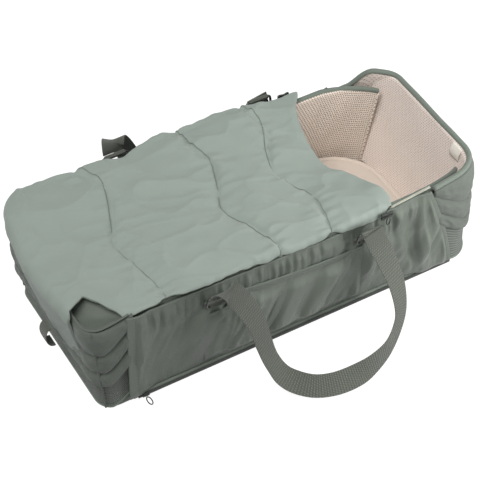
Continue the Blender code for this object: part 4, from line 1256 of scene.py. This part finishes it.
def zipSlider(name, node, body, grow):  # a cast slider: a waisted body with a bridge for the puller
    low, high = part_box(node)
    centre, size = (low + high) / 2, (high - low) * grow
    bm = bmesh.new()
    made = bmesh.ops.create_grid(bm, x_segments=14, y_segments=8, size=0.5)
    for vert in made["verts"]:
        waist = 1 - 0.28 * bump(vert.co.x + 0.05, 0.22) if abs(vert.co.y) > 0.1 else 1.0
        edge = 1 - 0.16 * ease(0.34, 0.5, abs(vert.co.x))
        vert.co = Vector((vert.co.x * size.x, 0, vert.co.y * size.z * waist * edge))
    solid = bmesh.ops.extrude_face_region(bm, geom=bm.faces[:])
    bmesh.ops.translate(bm, vec=(0, -size.y * 0.55, 0),
                        verts=[v for v in solid["geom"] if isinstance(v, bmesh.types.BMVert)])
    bmesh.ops.recalc_face_normals(bm, faces=bm.faces[:])
    slider = pieceFromWork(name, bm, coatedMetal)
    slider.data.set_sharp_from_angle(angle=radians(35))
    face = 1 if centre.y < 0 else -1
    slider.location = (centre.x, centre.y + face * size.y * 0.5, centre.z)
    if face < 0:
        slider.rotation_euler = (0, 0, pi)
    edges = slider.modifiers.new("cast edges", "BEVEL")
    edges.width, edges.segments, edges.limit_method = 0.0005, 2, "ANGLE"
    put(slider, body, node)
    line = []
    for i in range(13):
        a = pi * i / 12
        out = size.y * 0.05 + size.y * 0.42 * sin(a)
        line.append((centre.x + size.x * 0.42 * cos(a), centre.y - face * out, centre.z))
    bridge = sweep(name + "_bridge", line, circle(0.0008, 8), [coatedMetal], upward=Vector((0, 0, 1)))
    put(bridge, body)


def zipPuller(name, node, body, lying=False):
    low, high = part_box(node)
    centre, size = (low + high) / 2, high - low
    out = size / 2 - Vector((0.0009,) * 3)
    path = []
    for i in range(28):
        a = 2 * pi * i / 28
        x = centre.x + out.x * cos(a)
        if lying:
            path.append((x, centre.y + out.y * sin(a), centre.z))
        else:
            path.append((x, centre.y, centre.z + out.z * sin(a)))
    puller = sweep(name, path, circle(0.0010, 10), [coatedMetal],
                   upward=Vector((0, 0, 1)) if lying else Vector((0, 1, 0)), closed=True)
    put(puller, body, node)


def zipRise(rise, x, side):  # the closed part hides below the cover's lip, the open part shows
    top = max(alongPoints(rise, x), wallSizes["height"]) + 0.0012
    return top - 0.010 * (1 - ease(0.165, 0.190, x)) - (skirtSizes["farDrop"] if side > 0 else 0)


def makeZips():
    headX = zipSizes["headX"]
    for name, side in nearAndFar.items():
        low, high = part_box(f"zip_tape_{name}")
        rise = [(x, alongPoints(skirtTop, x) - 0.0015) for x in (-0.285, -0.1, 0.1, 0.18, headX)]
        grid = []
        for k in range(5):
            y = side * (wallSizes["outer"] + mixOf(0.0016, -0.0022, k / 4))
            grid.append([(x, y, zipRise(rise, x, side) + 0.0008 * k / 4)
                         for x in [mixOf(low.x, headX, i / 80) for i in range(81)]])
        tape = clothObject(f"zip_ribbon_{name}", grid, 0.45, 0.01, [zipWeave])
        thicken(tape, 0.0012, 0.0, 0)
        put(tape, "cot", f"zip_tape_{name}")
        line = [(x, side * (wallSizes["outer"] + 0.0006), zipRise(rise, x, side) + 0.0014)
                for x in [mixOf(low.x, headX, i / 40) for i in range(41)]]
        coil = teeth(f"zip_teeth_{name}", line, zipWeave)
        put(coil, "cot")
        zipSlider(f"zip_runner_{name}", f"zip_slider_{name}", f"zip_carrier_{name}", 1.7)
        zipPuller(f"zip_puller_{name}", f"zip_pull_{name}", f"zip_puller_{name}")
    low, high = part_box("base_zip_tape")
    grid = []
    for k in range(5):
        z = mixOf(low.z, high.z, k / 4)
        grid.append([(mixOf(low.x, high.x, i / 80), low.y + 0.0008, z) for i in range(81)])
    tape = clothObject("base_zip_ribbon", grid, high.x - low.x, 0.007, [darkZipWeave])
    thicken(tape, 0.0014, 0.0, 0)
    put(tape, "cot", "base_zip_tape")
    line = [(low.x + 0.01, low.y, 0.0066), (high.x - 0.005, low.y, 0.0066)]
    coil = teeth("base_zip_teeth", line, darkZipWeave)
    put(coil, "cot")
    zipSlider("base_zip_runner", "base_zip_slider", "base_zip_carrier", 1.0)
    zipPuller("base_zip_puller", "base_zip_pull", "base_zip_puller", lying=True)


makeHandles()
makeFootLoop()
makeZips()
print("stage 6: handles and zips made")


# floor, light and camera

studio = {"cameraTurn": -30.9, "cameraHeight": 46.9, "distance": 3.1, "lens": 137.6,
          "target": (-0.0213, -0.0148, 0.1), "roll": 1.0, "sun": 2.2, "sunFrom": (-0.38, -0.14, 1.0),
          "sunSoftness": 34.0, "sky": 0.24, "paper": 0.24, "paperGlow": 0.90, "keyPower": 4.4,
          "keyPlace": (0.55, -0.62, 0.36), "keyAim": (0.1, 0.0, 0.1), "keySize": 0.5,
          "paperReach": 8}


def seenDirectly(tree):
    # 1 for what the camera, mirrors and clear plastic show, 0 for what lights the object
    rays = tree.nodes.new("ShaderNodeLightPath")
    seen = rays.outputs["Is Camera Ray"]
    for kind in ("Is Glossy Ray", "Is Transmission Ray"):
        either = tree.nodes.new("ShaderNodeMath")
        either.operation = "MAXIMUM"
        tree.links.new(seen, either.inputs[0])
        tree.links.new(rays.outputs[kind], either.inputs[1])
        seen = either.outputs[0]
    return seen


def addLamp(name, kind, power, place, towards):
    # a lamp that shines against the given way
    lamp = bpy.data.lights.new(name, kind)
    lamp.energy = power
    stand = bpy.data.objects.new(name, lamp)
    stand.location = place
    stand.rotation_mode = "QUATERNION"
    stand.rotation_quaternion = towards.to_track_quat("Z", "Y")
    bpy.context.scene.collection.objects.link(stand)
    return lamp


def makeStudio():
    s = studio
    paint, shader = fabricNodes("studio paper", (s["paper"],) * 3, 0.95)
    shader.inputs["Specular IOR Level"].default_value = 0.0
    tree = paint.node_tree
    glow = tree.nodes.new("ShaderNodeMath")
    glow.operation = "MULTIPLY"
    glow.inputs[1].default_value = s["paperGlow"]
    tree.links.new(seenDirectly(tree), glow.inputs[0])
    shader.inputs["Emission Color"].default_value = (1, 1, 1, 1)
    tree.links.new(glow.outputs[0], shader.inputs["Emission Strength"])
    reach = s["paperReach"]
    corners = [[(x, y, -0.0003) for x in (-reach, reach)] for y in (-reach, reach)]
    paper = clothObject("studio_floor", corners, 2 * reach, 2 * reach, [paint])
    world = bpy.data.worlds.new("studio sky")
    world.use_nodes = True
    bpy.context.scene.world = world
    sky = world.node_tree
    back = sky.nodes["Background"]
    back.inputs["Color"].default_value = (1, 1, 1, 1)
    level = sky.nodes.new("ShaderNodeMapRange")
    sky.links.new(seenDirectly(sky), level.inputs["Value"])
    level.inputs["To Min"].default_value = s["sky"]
    level.inputs["To Max"].default_value = 1.0
    sky.links.new(level.outputs[0], back.inputs["Strength"])
    sun = addLamp("softbox", "SUN", s["sun"], (0, 0, 0), Vector(s["sunFrom"]))
    sun.angle = radians(s["sunSoftness"])
    # a nearer lamp beside the head end gives the sides their fall-off towards the foot
    key = addLamp("side softbox", "AREA", s["keyPower"], s["keyPlace"],
                  Vector(s["keyPlace"]) - Vector(s["keyAim"]))
    key.size = s["keySize"]
    bpy.context.scene.view_settings.view_transform = "Standard"


def makeCamera():
    s = studio
    turn, height = radians(s["cameraTurn"]), radians(s["cameraHeight"])
    back = Vector((sin(turn) * cos(height), -cos(turn) * cos(height), sin(height)))
    right = Vector((cos(turn), sin(turn), 0))
    up = back.cross(right)
    roll = radians(s["roll"])
    right, up = right * cos(roll) + up * sin(roll), up * cos(roll) - right * sin(roll)
    data = bpy.data.cameras.new("camera")
    data.lens = s["lens"]
    data.sensor_width = 36
    camera = bpy.data.objects.new("camera", data)
    bpy.context.scene.collection.objects.link(camera)
    turned = Matrix((right, up, back)).transposed().to_4x4()
    turned.translation = Vector(s["target"]) + back * s["distance"]
    camera.matrix_world = turned
    bpy.context.scene.camera = camera


makeStudio()
makeCamera()
print("stage 7: studio and camera ready")
